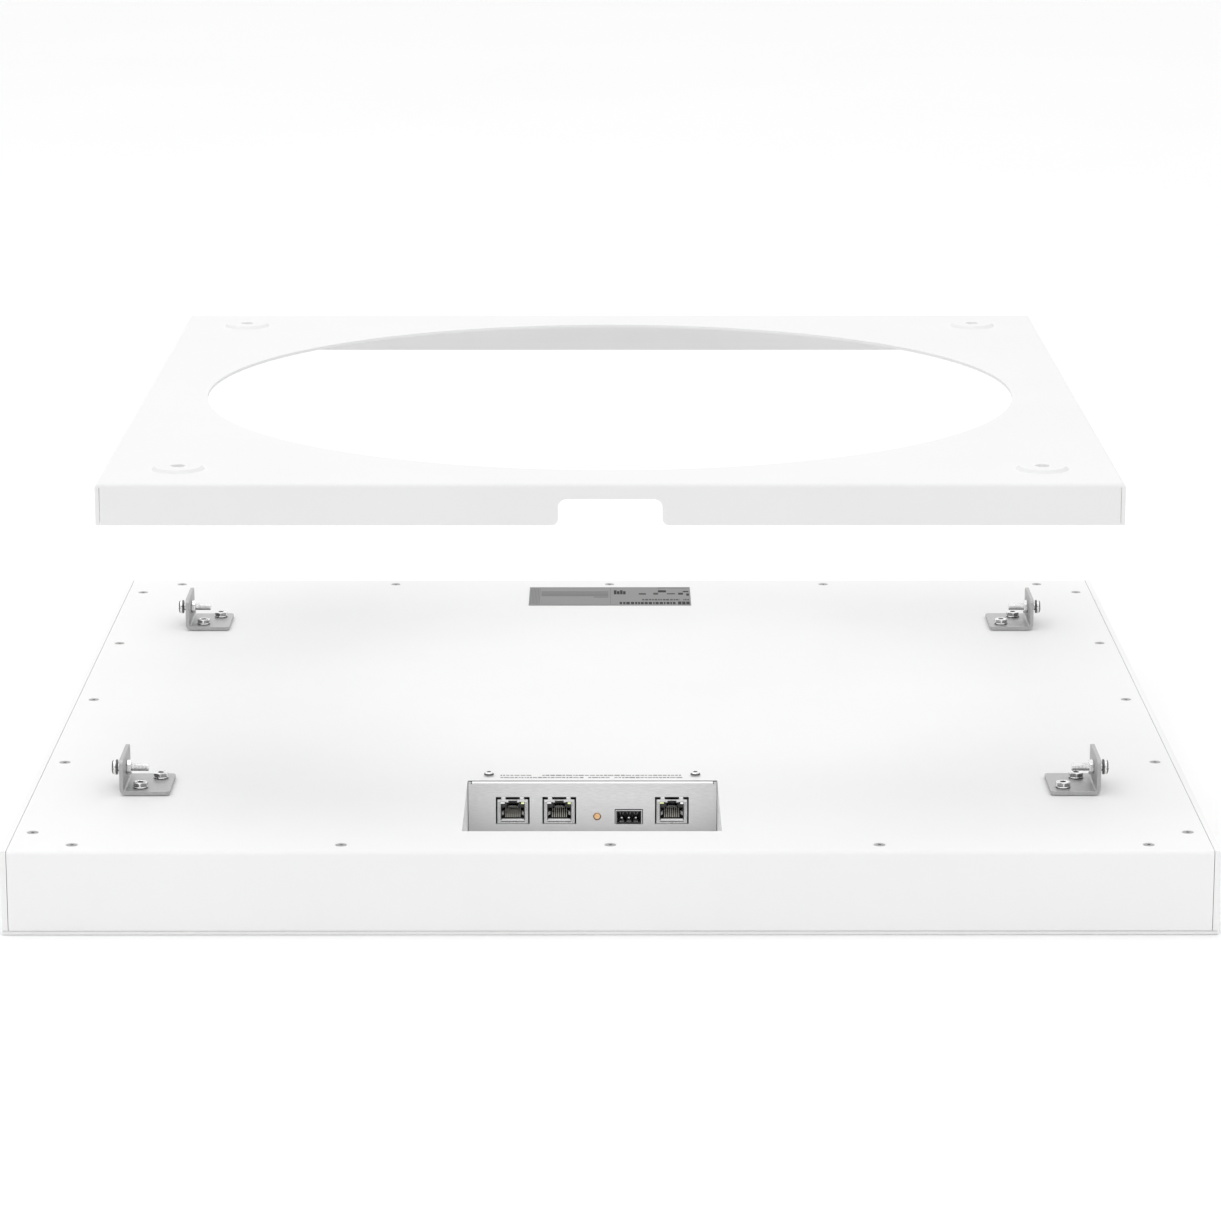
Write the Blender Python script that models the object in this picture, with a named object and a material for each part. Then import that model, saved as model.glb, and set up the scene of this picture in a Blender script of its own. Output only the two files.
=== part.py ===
"""Flat square ceiling tile unit, lying face down, with its lift-off mounting frame held above it.

Metres, +Z up.  The origin is the centre of the room-side face, so the tile lies on z = 0 with its rear
side up.  -Y is the connector side.  The frame is drawn lifted off its four brackets.
"""

import math

import bmesh
import bpy
from mathutils import Matrix, Vector

# ---------------------------------------------------------------- driving dimensions
TILE_SIDE = 0.587
TILE_HEIGHT = 0.042
FRAME_SIDE = 0.4965
FRAME_HEIGHT = 0.0204
FRAME_LIFT = 0.150
COVER_SHEET = 0.0012
FRAME_SHEET = 0.0015
GAP = 0.0003

# ---------------------------------------------------------------- tile
HALF = TILE_SIDE / 2
REAR = TILE_HEIGHT
GRILLE_HEIGHT = 0.0020
GRILLE_SHEET = 0.0010
GRILLE_RIM = 0.0015
GRILLE_EDGE = 0.0006
WALL_BOTTOM = GRILLE_HEIGHT + GAP
SIDE_WALL = 0.0030
COVER_BEND = 0.0020
COVER_HALF_X = HALF - SIDE_WALL - GAP

FLANGE_TOP = REAR - COVER_SHEET - GAP
FLANGE_SHEET = 0.0015
RAIL_OUTSIDE = HALF - COVER_SHEET - 2 * GAP
CHASSIS_OPENING = 0.273
CHASSIS_INSET = 0.001

STANDOFF_RADIUS = 0.003
MAIN_BOARD_LOW = (-0.200, -0.110)
MAIN_BOARD_HIGH = (0.200, 0.200)
MAIN_BOARD_TOP = 0.0296
BOARD = 0.0016
STANDOFF_INSET = 0.008
# left, right, front, back and height of each large component
MAIN_BOARD_BLOCKS = (
    (-0.030, 0.030, 0.040, 0.100, 0.0080),
    (0.060, 0.090, 0.050, 0.080, 0.0030),
    (-0.100, -0.070, 0.050, 0.080, 0.0030),
    (-0.160, -0.135, -0.060, -0.035, 0.0070),
    (0.110, 0.150, -0.070, -0.050, 0.0060),
)

ARRAY_BOARD_HALF = 0.287
ARRAY_BOARD_BOTTOM = WALL_BOTTOM + FLANGE_SHEET + GAP
CAPSULE_RADIUS = 0.0025
CAPSULE_HEIGHT = 0.0013
CAPSULE_RINGS = ((0.055, 6), (0.120, 8), (0.200, 12))

STATUS_LIGHT_Y = -0.262
STATUS_LIGHT_RADIUS = 0.0020

# ---------------------------------------------------------------- perimeter screws (M3 countersunk)
PERIMETER_INSET = 0.0119
PERIMETER_PITCH = 0.130
PERIMETER_STEPS = (-2, -1, 0, 1, 2)
CSK_HEAD_RADIUS = 0.0028
CSK_SHANK_RADIUS = 0.0015
CSK_LENGTH = 0.0060

# ---------------------------------------------------------------- connector pocket and plate
POCKET_X = (-0.0725, 0.0545)
POCKET_Y = (-0.2584, -0.1672)
POCKET_FLOOR = 0.0135
POCKET_SHEET = 0.0010
POCKET_LIP = 0.006
POCKET_BACK = -0.1620

PLATE_FACE_Y = -0.1669
COVER_EDGE_Y = PLATE_FACE_Y + 0.0010
PLATE_SHEET = 0.0012
PLATE_BEND = 0.0014
PLATE_EAR = 0.0019
PLATE_SLIT = 0.0005
PLATE_FLANGE_BACK = -0.1460
PLATE_SCREW_X = (-0.0619, 0.0435)
PLATE_SCREW_Y = -0.1565
PAN_RADIUS = 0.0025
PAN_HEAD = 0.0018
# shares of the head's radius and height
PAN_PROFILE = ((1.0, 0.0), (1.0, 0.55), (0.86, 0.88), (0.60, 1.0))

JACK_X = (-0.0496, -0.0259, 0.0314)
JACK_OPENING_HALF = 0.0086
JACK_OPENING_Z = (0.0194, 0.0336)
JACK_HALF = 0.0078
JACK_Z = (0.0197, 0.0324)
JACK_FRONT = PLATE_FACE_Y - GAP
JACK_BACK = -0.1470
JACK_SILL = 0.0019
JACK_CAVITY_HALF = 0.0060
JACK_CAVITY_HEIGHT = 0.0069
JACK_CAVITY_DEPTH = 0.0135
LATCH_HALF = 0.0033
LATCH_HEIGHT = 0.0023
LATCH_TOP_HALF = 0.0022
LATCH_TOP_HEIGHT = 0.0008

HEADER_X = 0.0095
HEADER_OPENING_HALF = 0.0072
HEADER_OPENING_Z = (0.0193, 0.0272)
HEADER_HALF = 0.0064
HEADER_Z = (0.0197, 0.0263)
HEADER_BACK = -0.1555
HEADER_WALL = 0.0006
HEADER_DEPTH = 0.008

BUTTON_X = -0.0066
BUTTON_Z = 0.0233
BUTTON_RADIUS = 0.00165
BUTTON_HOLE_RADIUS = 0.0020
BUTTON_TRAVEL = 0.0005
BUTTON_STEM = 0.0060
# share of the button's radius and depth behind the plate's face
BUTTON_DOME = ((0.45, 0.0), (0.80, 0.0002), (1.0, 0.0006))
SWITCH_HALF = 0.0034
SWITCH_DEPTH = 0.0070

IO_BOARD_TOP = JACK_Z[0] - GAP
IO_BOARD_X = (-0.0705, 0.0525)
IO_BOARD_Y = (-0.1652, -0.1180)

# ---------------------------------------------------------------- brackets and their fasteners
BRACKET_X = 0.2463
BRACKET_Y = 0.1775
BRACKET_LENGTH = 0.035
BRACKET_BASE = 0.0250
BRACKET_HEIGHT = 0.0184
BRACKET_SHEET = 0.0020
BRACKET_BEND = 0.0030
BRACKET_BOTTOM = REAR + GAP
BRACKET_TOP_CORNER = 0.0030
BRACKET_FOOT_CORNER = 0.0020
SIDE_SCREW_Z = REAR + 0.0104
M4_RADIUS = 0.0020
M4_HOLE_RADIUS = M4_RADIUS + GAP
HEX_FLATS_HALF = 0.0035
HEX_HEAD = 0.0020
WASHER_RADIUS = 0.0038
WASHER_SHEET = 0.0007
HEX_SHANK = 0.0090
HEX_RECESS_RADIUS = 0.0015
HEX_RECESS_DEPTH = 0.0014
HEX_SCREWS = ((0.0097, -0.0092), (0.0182, 0.0092))
SIDE_HEAD_RADIUS = 0.0039
SIDE_HEAD = 0.0031
SIDE_HEAD_GAP = 0.0025
SIDE_SCREW_LENGTH = 0.0188
SIDE_SCREW_EDGE = 0.0004
SIDE_SLOT_WIDTH = 0.0012
SIDE_SLOT_DEPTH = 0.0013
NUT_THICKNESS = 0.0024

# ---------------------------------------------------------------- mounting frame
FRAME_HALF = FRAME_SIDE / 2
FRAME_SEAT = REAR + 0.0005
FRAME_BEND = 0.0020
FRAME_OPENING_RADIUS = 0.215
BOSS_AT = 0.2115
BOSS_BASE_RADIUS = 0.0130
BOSS_TOP_RADIUS = 0.0115
BOSS_HEIGHT = 0.0015
BOSS_HOLE_RADIUS = 0.0035
NOTCH_WIDTH = 0.0505
NOTCH_HEIGHT = 0.0128
NOTCH_TOP_RADIUS = 0.0040
NOTCH_FOOT_RADIUS = 0.0030
SLOT_WIDTH = 0.0050
SLOT_LEAD = 0.0015
SLOT_CENTRE = SIDE_SCREW_Z - FRAME_SEAT
CORNER_SEAM = 0.0004
CORNER_STRIP = 0.0019

# ---------------------------------------------------------------- label
LABEL_X = (-0.0482, 0.0486)
LABEL_Y = (0.2245, 0.2720)
LABEL_GAP = 0.0001
LABEL_SHEET = 0.0002

# ---------------------------------------------------------------- how round things are drawn
FINE = 128
ROUND = 24
SMALL = 16
HIDDEN = 12
BEND_STEPS = 4
CORNER_STEPS = 4
OVERSHOOT = 0.002
TOUCH = 0.0001
SHARP_ANGLE = 35


# ================================================================ building helpers
def clear_scene():
    """Remove every object, mesh and material that the file holds."""
    for holder in (bpy.data.objects, bpy.data.meshes, bpy.data.materials):
        for item in list(holder):
            holder.remove(item)


def material(name, colour, roughness, metallic=0.0):
    """A Principled material with one colour."""
    made = bpy.data.materials.new(name)
    made.use_nodes = True
    shader = made.node_tree.nodes["Principled BSDF"]
    shader.inputs["Base Color"].default_value = (*colour, 1.0)
    shader.inputs["Roughness"].default_value = roughness
    shader.inputs["Metallic"].default_value = metallic
    return made


def box(low, high):
    """A box between two corners."""
    shape = bmesh.new()
    bmesh.ops.create_cube(shape, size=1.0)
    size = Vector(high) - Vector(low)
    centre = (Vector(high) + Vector(low)) / 2
    place = Matrix.Translation(centre) @ Matrix.Diagonal((*size, 1.0))
    bmesh.ops.transform(shape, matrix=place, verts=shape.verts)
    return shape


def prism(outline, start, end, axis="X"):
    """A closed outline pushed along an axis.

    The outline holds (Y, Z) pairs for axis X, (X, Z) pairs for axis Y and (X, Y) pairs for axis Z.
    """
    shape = bmesh.new()
    rows = []
    for along in (start, end):
        if axis == "X":
            points = [(along, u, v) for u, v in outline]
        elif axis == "Y":
            points = [(u, along, v) for u, v in outline]
        else:
            points = [(u, v, along) for u, v in outline]
        rows.append([shape.verts.new(point) for point in points])
    shape.faces.new(rows[0])
    shape.faces.new(rows[1])
    count = len(outline)
    for i in range(count):
        j = (i + 1) % count
        shape.faces.new((rows[0][i], rows[0][j], rows[1][j], rows[1][i]))
    bmesh.ops.recalc_face_normals(shape, faces=shape.faces)
    return shape


def turned(profile, segments, centre=(0, 0, 0), axis="Z"):
    """A solid of revolution; the profile holds (radius, height) pairs from the bottom to the top."""
    shape = bmesh.new()
    rings = []
    for radius, height in profile:
        ring = []
        for i in range(segments):
            angle = 2 * math.pi * i / segments
            ring.append(shape.verts.new((radius * math.cos(angle), radius * math.sin(angle), height)))
        rings.append(ring)
    shape.faces.new(reversed(rings[0]))
    shape.faces.new(rings[-1])
    for lower, upper in zip(rings, rings[1:]):
        for i in range(segments):
            j = (i + 1) % segments
            shape.faces.new((lower[i], lower[j], upper[j], upper[i]))
    turn = {
        "Z": Matrix.Identity(4),
        "X": Matrix.Rotation(math.pi / 2, 4, "Y"),
        "Y": Matrix.Rotation(-math.pi / 2, 4, "X"),
    }[axis]
    bmesh.ops.transform(shape, matrix=Matrix.Translation(centre) @ turn, verts=shape.verts)
    return shape


def joined(shapes):
    """Several shapes that don't touch, held in one mesh."""
    whole = bmesh.new()
    for shape in shapes:
        mesh = bpy.data.meshes.new("joined")
        shape.to_mesh(mesh)
        shape.free()
        whole.from_mesh(mesh)
        bpy.data.meshes.remove(mesh)
    return whole


def arc(centre, radius, start, end, steps=BEND_STEPS):
    """Points along an arc, angles in degrees."""
    points = []
    for i in range(steps + 1):
        angle = math.radians(start + (end - start) * i / steps)
        points.append((centre[0] + radius * math.cos(angle), centre[1] + radius * math.sin(angle)))
    return points


def finished_mesh(name, base, cuts=(), adds=()):
    """The base shape with others joined to it and then cut from it, as one mesh."""
    helpers = []

    def helper(label, shape):
        mesh = bpy.data.meshes.new(label)
        shape.to_mesh(mesh)
        shape.free()
        made = bpy.data.objects.new(label, mesh)
        bpy.context.collection.objects.link(made)
        helpers.append(made)
        return made

    body = helper(name + "_base", base)
    steps = [("UNION", shape) for shape in adds] + [("DIFFERENCE", shape) for shape in cuts]
    for operation, shape in steps:
        modifier = body.modifiers.new(operation, "BOOLEAN")
        modifier.operation = operation
        modifier.solver = "EXACT"
        modifier.object = helper(name + "_tool", shape)
    bpy.context.view_layer.update()
    evaluated = body.evaluated_get(bpy.context.evaluated_depsgraph_get())
    mesh = bpy.data.meshes.new_from_object(evaluated)
    mesh.name = name
    for made in helpers:
        used = made.data
        bpy.data.objects.remove(made)
        bpy.data.meshes.remove(used)
    mesh.shade_smooth()
    mesh.set_sharp_from_angle(angle=math.radians(SHARP_ANGLE))
    return mesh


def place(name, mesh, finish, parent, location=(0, 0, 0), turn=0.0):
    """Put a mesh in the scene as one named sub-part; turn is about Z, in degrees."""
    if not mesh.materials:
        mesh.materials.append(finish)
    made = bpy.data.objects.new(name, mesh)
    made.location = location
    made.rotation_euler = (0, 0, math.radians(turn))
    made.parent = parent
    bpy.context.collection.objects.link(made)
    return made


def empty(name, location=(0, 0, 0), parent=None):
    """An empty that sub-parts hang from."""
    made = bpy.data.objects.new(name, None)
    made.location = location
    made.parent = parent
    bpy.context.collection.objects.link(made)
    return made


# ================================================================ tile housing
def perimeter_places():
    """Where the screws round the rear cover stand."""
    edge = HALF - PERIMETER_INSET
    places = []
    for side in (-1, 1):
        for step in PERIMETER_STEPS:
            places.append((step * PERIMETER_PITCH, side * edge))
            places.append((side * edge, step * PERIMETER_PITCH))
    return places


def bracket_places():
    """Centre of each bracket's bend line, with its turn about Z."""
    places = []
    for side, turn in ((-1, 0), (1, 180)):
        for end in (-1, 1):
            places.append((side * BRACKET_X, end * BRACKET_Y, turn))
    return places


def hex_screw_places():
    """Where the bracket screws stand."""
    places = []
    for x, y, turn in bracket_places():
        facing = 1 if turn == 0 else -1
        for inward, along in HEX_SCREWS:
            places.append((x + facing * inward, y + facing * along))
    return places


def standoff_places():
    """The four posts that the main board hangs from."""
    xs = (MAIN_BOARD_LOW[0] + STANDOFF_INSET, MAIN_BOARD_HIGH[0] - STANDOFF_INSET)
    ys = (MAIN_BOARD_LOW[1] + STANDOFF_INSET, MAIN_BOARD_HIGH[1] - STANDOFF_INSET)
    return [(x, y) for x in xs for y in ys]


def countersink(x, y):
    """Room for one countersunk screw."""
    cone = CSK_HEAD_RADIUS - CSK_SHANK_RADIUS
    profile = (
        (CSK_SHANK_RADIUS + GAP, REAR - 2 * COVER_SHEET),
        (CSK_SHANK_RADIUS + GAP, REAR - cone),
        (CSK_HEAD_RADIUS + GAP, REAR),
        (CSK_HEAD_RADIUS + GAP, REAR + OVERSHOOT),
    )
    return turned(profile, ROUND, (x, y, 0))


def drill(x, y, radius, low, high, segments=SMALL):
    """A straight round cutter that stands along Z."""
    return turned(((radius, low), (radius, high)), segments, (x, y, 0))


def make_rear_cover(finish, parent):
    """Sheet bent down at the front and the back, with its holes and the posts of the main board."""
    inner = HALF - COVER_SHEET
    inner_bend = COVER_BEND - COVER_SHEET
    outline = [(-HALF, WALL_BOTTOM)]
    outline += arc((-HALF + COVER_BEND, REAR - COVER_BEND), COVER_BEND, 180, 90)
    outline += arc((HALF - COVER_BEND, REAR - COVER_BEND), COVER_BEND, 90, 0)
    outline += [(HALF, WALL_BOTTOM), (inner, WALL_BOTTOM)]
    outline += arc((HALF - COVER_BEND, REAR - COVER_BEND), inner_bend, 0, 90)
    outline += arc((-HALF + COVER_BEND, REAR - COVER_BEND), inner_bend, 90, 180)
    outline += [(-inner, WALL_BOTTOM)]
    sheet = prism(outline, -COVER_HALF_X, COVER_HALF_X)
    below = REAR - 2 * COVER_SHEET
    above = REAR + OVERSHOOT
    cutters = [countersink(x, y) for x, y in perimeter_places()]
    cutters += [drill(x, y, M4_HOLE_RADIUS, below, above) for x, y in hex_screw_places()]
    cutters += [drill(x, PLATE_SCREW_Y, CSK_SHANK_RADIUS + GAP, below, above) for x in PLATE_SCREW_X]
    cutters.append(box((POCKET_X[0], POCKET_Y[0], below), (POCKET_X[1], COVER_EDGE_Y, above)))
    posts = [
        drill(x, y, STANDOFF_RADIUS, MAIN_BOARD_TOP + GAP, REAR - COVER_SHEET / 2, HIDDEN)
        for x, y in standoff_places()
    ]
    mesh = finished_mesh("rear_cover", sheet, [joined(cutters)], [joined(posts)])
    place("rear_cover", mesh, finish, parent)


def make_chassis(finish, parent):
    """Side walls with the rails and flanges that carry the cover and the array board."""
    ring = box(
        (-HALF + CHASSIS_INSET, -RAIL_OUTSIDE, WALL_BOTTOM),
        (HALF - CHASSIS_INSET, RAIL_OUTSIDE, FLANGE_TOP),
    )
    cavity_x = HALF - 2 * CHASSIS_INSET
    cavity_y = RAIL_OUTSIDE - FLANGE_SHEET
    cavity = box(
        (-cavity_x, -cavity_y, WALL_BOTTOM + FLANGE_SHEET),
        (cavity_x, cavity_y, FLANGE_TOP - FLANGE_SHEET),
    )
    opening = box(
        (-CHASSIS_OPENING, -CHASSIS_OPENING, -OVERSHOOT),
        (CHASSIS_OPENING, CHASSIS_OPENING, REAR + OVERSHOOT),
    )
    walls = []
    for side in (-1, 1):
        edges = sorted((side * (HALF - SIDE_WALL), side * HALF))
        walls.append(box((edges[0], -HALF, WALL_BOTTOM), (edges[1], HALF, REAR)))
    low = FLANGE_TOP - 2 * FLANGE_SHEET
    holes = [
        drill(x, y, CSK_SHANK_RADIUS + GAP, low, REAR + OVERSHOOT, HIDDEN) for x, y in perimeter_places()
    ]
    hollow = finished_mesh("chassis_ring", ring, [cavity, opening])
    shell = bmesh.new()
    shell.from_mesh(hollow)
    bpy.data.meshes.remove(hollow)
    mesh = finished_mesh("chassis", shell, [joined(holes)], [joined(walls)])
    place("chassis", mesh, finish, parent)


def make_grille(finish, parent):
    """Room-side tray with a low rim and the hole for the status light."""
    tray = box((-HALF, -HALF, 0), (HALF, HALF, GRILLE_HEIGHT))
    outer_edges = []
    for edge in tray.edges:
        middle = (edge.verts[0].co + edge.verts[1].co) / 2
        upright = abs(edge.verts[0].co.z - edge.verts[1].co.z) > GRILLE_SHEET
        if upright or middle.z < GRILLE_SHEET:
            outer_edges.append(edge)
    bmesh.ops.bevel(tray, geom=outer_edges, offset=GRILLE_EDGE, segments=2, profile=0.5, affect="EDGES")
    inside = HALF - GRILLE_RIM
    hollow = box((-inside, -inside, GRILLE_SHEET), (inside, inside, GRILLE_HEIGHT + OVERSHOOT))
    light_hole = drill(0, STATUS_LIGHT_Y, STATUS_LIGHT_RADIUS + GAP, -OVERSHOOT, GRILLE_HEIGHT)
    mesh = finished_mesh("grille", tray, [hollow, light_hole])
    place("grille", mesh, finish, parent)


def make_acoustic_cloth(finish, parent):
    """Cloth between the grille and the chassis."""
    half = HALF - GRILLE_RIM - GAP
    sheet = box((-half, -half, GRILLE_SHEET + GAP), (half, half, GRILLE_HEIGHT - GAP / 2))
    hole = drill(0, STATUS_LIGHT_Y, STATUS_LIGHT_RADIUS + GAP, 0, WALL_BOTTOM)
    place("acoustic_cloth", finished_mesh("acoustic_cloth", sheet, [hole]), finish, parent)


def make_status_light(finish, parent):
    """Light pipe that shows through the grille."""
    profile = ((STATUS_LIGHT_RADIUS, GAP), (STATUS_LIGHT_RADIUS, ARRAY_BOARD_BOTTOM - GAP))
    pipe = turned(profile, SMALL, (0, STATUS_LIGHT_Y, 0))
    place("status_light", finished_mesh("status_light", pipe), finish, parent)


def make_array_board(finish, parent):
    """Board that covers the tile, with its rings of capsules."""
    top = ARRAY_BOARD_BOTTOM + BOARD
    half = ARRAY_BOARD_HALF
    board = box((-half, -half, ARRAY_BOARD_BOTTOM), (half, half, top))
    capsules = []
    for radius, count in CAPSULE_RINGS:
        for i in range(count):
            angle = 2 * math.pi * i / count
            x = radius * math.cos(angle)
            y = radius * math.sin(angle)
            capsules.append(drill(x, y, CAPSULE_RADIUS, top - GAP, top + CAPSULE_HEIGHT, HIDDEN))
    mesh = finished_mesh("array_board", board, adds=[joined(capsules)])
    place("array_board", mesh, finish, parent)


def make_main_board(finish, parent):
    """Processing board with its larger components."""
    board = box(
        (*MAIN_BOARD_LOW, MAIN_BOARD_TOP - BOARD),
        (*MAIN_BOARD_HIGH, MAIN_BOARD_TOP),
    )
    components = []
    for left, right, front, back, height in MAIN_BOARD_BLOCKS:
        low = (left, front, MAIN_BOARD_TOP - GAP)
        components.append(box(low, (right, back, MAIN_BOARD_TOP + height)))
    mesh = finished_mesh("main_board", board, adds=[joined(components)])
    place("main_board", mesh, finish, parent)


def make_type_label(finish, parent):
    """Plain rating label near the back edge."""
    low = REAR + LABEL_GAP
    plate = box((LABEL_X[0], LABEL_Y[0], low), (LABEL_X[1], LABEL_Y[1], low + LABEL_SHEET))
    place("type_label", finished_mesh("type_label", plate), finish, parent)


def make_perimeter_screws(finish, parent):
    """Countersunk screws, flush with the rear cover."""
    cone = CSK_HEAD_RADIUS - CSK_SHANK_RADIUS
    profile = (
        (CSK_SHANK_RADIUS, -CSK_LENGTH),
        (CSK_SHANK_RADIUS, -cone),
        (CSK_HEAD_RADIUS, 0),
    )
    mesh = finished_mesh("perimeter_screw", turned(profile, SMALL))
    for number, (x, y) in enumerate(perimeter_places(), 1):
        place("perimeter_screw_%02d" % number, mesh, finish, parent, (x, y, REAR))


# ================================================================ connectors
def make_connector_pocket(finish, parent):
    """Sunk tray in front of the connectors, with a lip under the rear cover."""
    sheet = POCKET_SHEET
    tub = box(
        (POCKET_X[0] - sheet, POCKET_Y[0] - sheet, POCKET_FLOOR - sheet),
        (POCKET_X[1] + sheet, POCKET_BACK, FLANGE_TOP),
    )
    lip = box(
        (POCKET_X[0] - POCKET_LIP, POCKET_Y[0] - POCKET_LIP, FLANGE_TOP - sheet),
        (POCKET_X[1] + POCKET_LIP, POCKET_Y[1], FLANGE_TOP),
    )
    hollow = box(
        (POCKET_X[0], POCKET_Y[0], POCKET_FLOOR),
        (POCKET_X[1], POCKET_BACK + OVERSHOOT, REAR + OVERSHOOT),
    )
    mesh = finished_mesh("connector_pocket", tub, [hollow], [lip])
    place("connector_pocket", mesh, finish, parent)


def make_connector_plate(finish, parent):
    """Upright plate with the connector openings, folded back at its top between two ears."""
    face = PLATE_FACE_Y
    back = face + PLATE_SHEET
    foot = POCKET_FLOOR + GAP
    bend = (face + PLATE_BEND, FLANGE_TOP - PLATE_BEND)
    outline = [(face, foot)]
    outline += arc(bend, PLATE_BEND, 180, 90)
    outline += [(PLATE_FLANGE_BACK, FLANGE_TOP), (PLATE_FLANGE_BACK, FLANGE_TOP - PLATE_SHEET)]
    outline += arc(bend, PLATE_BEND - PLATE_SHEET, 90, 180, 2)
    outline += [(back, foot)]
    left = POCKET_X[0] + GAP
    right = POCKET_X[1] - GAP
    folded = prism(outline, left + PLATE_EAR, right - PLATE_EAR)
    wide = box((left, face, foot), (right, back, FLANGE_TOP - GAP))
    windows = []
    front = face - OVERSHOOT
    behind = back + OVERSHOOT
    for x in JACK_X:
        low = (x - JACK_OPENING_HALF, front, JACK_OPENING_Z[0])
        windows.append(box(low, (x + JACK_OPENING_HALF, behind, JACK_OPENING_Z[1])))
    low = (HEADER_X - HEADER_OPENING_HALF, front, HEADER_OPENING_Z[0])
    windows.append(box(low, (HEADER_X + HEADER_OPENING_HALF, behind, HEADER_OPENING_Z[1])))
    through = ((BUTTON_HOLE_RADIUS, front), (BUTTON_HOLE_RADIUS, behind))
    windows.append(turned(through, ROUND, (BUTTON_X, 0, BUTTON_Z), "Y"))
    for x in PLATE_SCREW_X:
        bottom = FLANGE_TOP - 2 * PLATE_SHEET
        windows.append(drill(x, PLATE_SCREW_Y, CSK_SHANK_RADIUS + GAP, bottom, REAR, HIDDEN))
    slit_low = FLANGE_TOP - PLATE_BEND - PLATE_SLIT
    for edge in (left + PLATE_EAR, right - PLATE_EAR + PLATE_SLIT):
        low = (edge - PLATE_SLIT, front, slit_low)
        windows.append(box(low, (edge, behind, REAR)))
    mesh = finished_mesh("connector_plate", folded, [joined(windows)], [wide])
    place("connector_plate", mesh, finish, parent)


def make_plate_screws(finish, parent):
    """Pan-head M3 screws that hold the plate's fold up against the rear cover."""
    profile = [(CSK_SHANK_RADIUS, -CSK_LENGTH), (CSK_SHANK_RADIUS, GAP)]
    profile += [(PAN_RADIUS * across, GAP + PAN_HEAD * up) for across, up in PAN_PROFILE]
    mesh = finished_mesh("plate_screw", turned(profile, SMALL))
    for side, x in zip(("left", "right"), PLATE_SCREW_X):
        place("plate_screw_" + side, mesh, finish, parent, (x, PLATE_SCREW_Y, REAR))


def make_network_jacks(finish, parent):
    """Shielded jacks: a body with the plug's cavity and the latch channel above it."""
    depth = JACK_BACK - JACK_FRONT
    body = box((-JACK_HALF, 0, JACK_Z[0]), (JACK_HALF, depth, JACK_Z[1]))
    floor = JACK_Z[0] + JACK_SILL
    roof = floor + JACK_CAVITY_HEIGHT
    latch = roof + LATCH_HEIGHT
    steps = (
        (JACK_CAVITY_HALF, floor),
        (JACK_CAVITY_HALF, roof),
        (LATCH_HALF, roof),
        (LATCH_HALF, latch),
        (LATCH_TOP_HALF, latch),
        (LATCH_TOP_HALF, latch + LATCH_TOP_HEIGHT),
    )
    outline = list(steps) + [(-half, height) for half, height in reversed(steps)]
    cavity = prism(outline, -OVERSHOOT, JACK_CAVITY_DEPTH, "Y")
    mesh = finished_mesh("network_jack", body, [cavity])
    for number, x in enumerate(JACK_X, 1):
        place("network_jack_%d" % number, mesh, finish, parent, (x, JACK_FRONT, 0))


def make_terminal_header(finish, parent):
    """Socket for a pluggable 3-pole terminal block."""
    wall = HEADER_WALL
    body = box(
        (HEADER_X - HEADER_HALF, JACK_FRONT, HEADER_Z[0]),
        (HEADER_X + HEADER_HALF, HEADER_BACK, HEADER_Z[1]),
    )
    cavity = box(
        (HEADER_X - HEADER_HALF + wall, JACK_FRONT - OVERSHOOT, HEADER_Z[0] + wall),
        (HEADER_X + HEADER_HALF - wall, JACK_FRONT + HEADER_DEPTH, HEADER_Z[1] - wall),
    )
    mesh = finished_mesh("terminal_header", body, [cavity])
    place("terminal_header", mesh, finish, parent)


def make_reset_switch(finish, parent):
    """Switch body behind the plate, bored for the button's stem."""
    front = PLATE_FACE_Y + PLATE_SHEET + 4 * GAP
    body = box(
        (BUTTON_X - SWITCH_HALF, front, JACK_Z[0]),
        (BUTTON_X + SWITCH_HALF, front + SWITCH_DEPTH, BUTTON_Z + SWITCH_HALF),
    )
    pressed_end = PLATE_FACE_Y + BUTTON_STEM + BUTTON_TRAVEL
    bore = ((BUTTON_RADIUS + GAP, front - OVERSHOOT), (BUTTON_RADIUS + GAP, pressed_end + GAP))
    mesh = finished_mesh("reset_switch", body, [turned(bore, ROUND, (BUTTON_X, 0, BUTTON_Z), "Y")])
    place("reset_switch", mesh, finish, parent)


def make_reset_button(finish, parent):
    """Round button with a domed face, pressed along +Y by BUTTON_TRAVEL."""
    profile = [(BUTTON_RADIUS * share, depth) for share, depth in BUTTON_DOME]
    profile.append((BUTTON_RADIUS, BUTTON_STEM))
    mesh = finished_mesh("reset_button", turned(profile, ROUND, axis="Y"))
    slide = empty("reset_button_slide", (BUTTON_X, PLATE_FACE_Y, BUTTON_Z), parent)
    place("reset_button", mesh, finish, slide)


def make_io_board(finish, parent):
    """Board that the connectors stand on."""
    board = box(
        (IO_BOARD_X[0], IO_BOARD_Y[0], IO_BOARD_TOP - BOARD),
        (IO_BOARD_X[1], IO_BOARD_Y[1], IO_BOARD_TOP),
    )
    place("io_board", finished_mesh("io_board", board), finish, parent)


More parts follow.
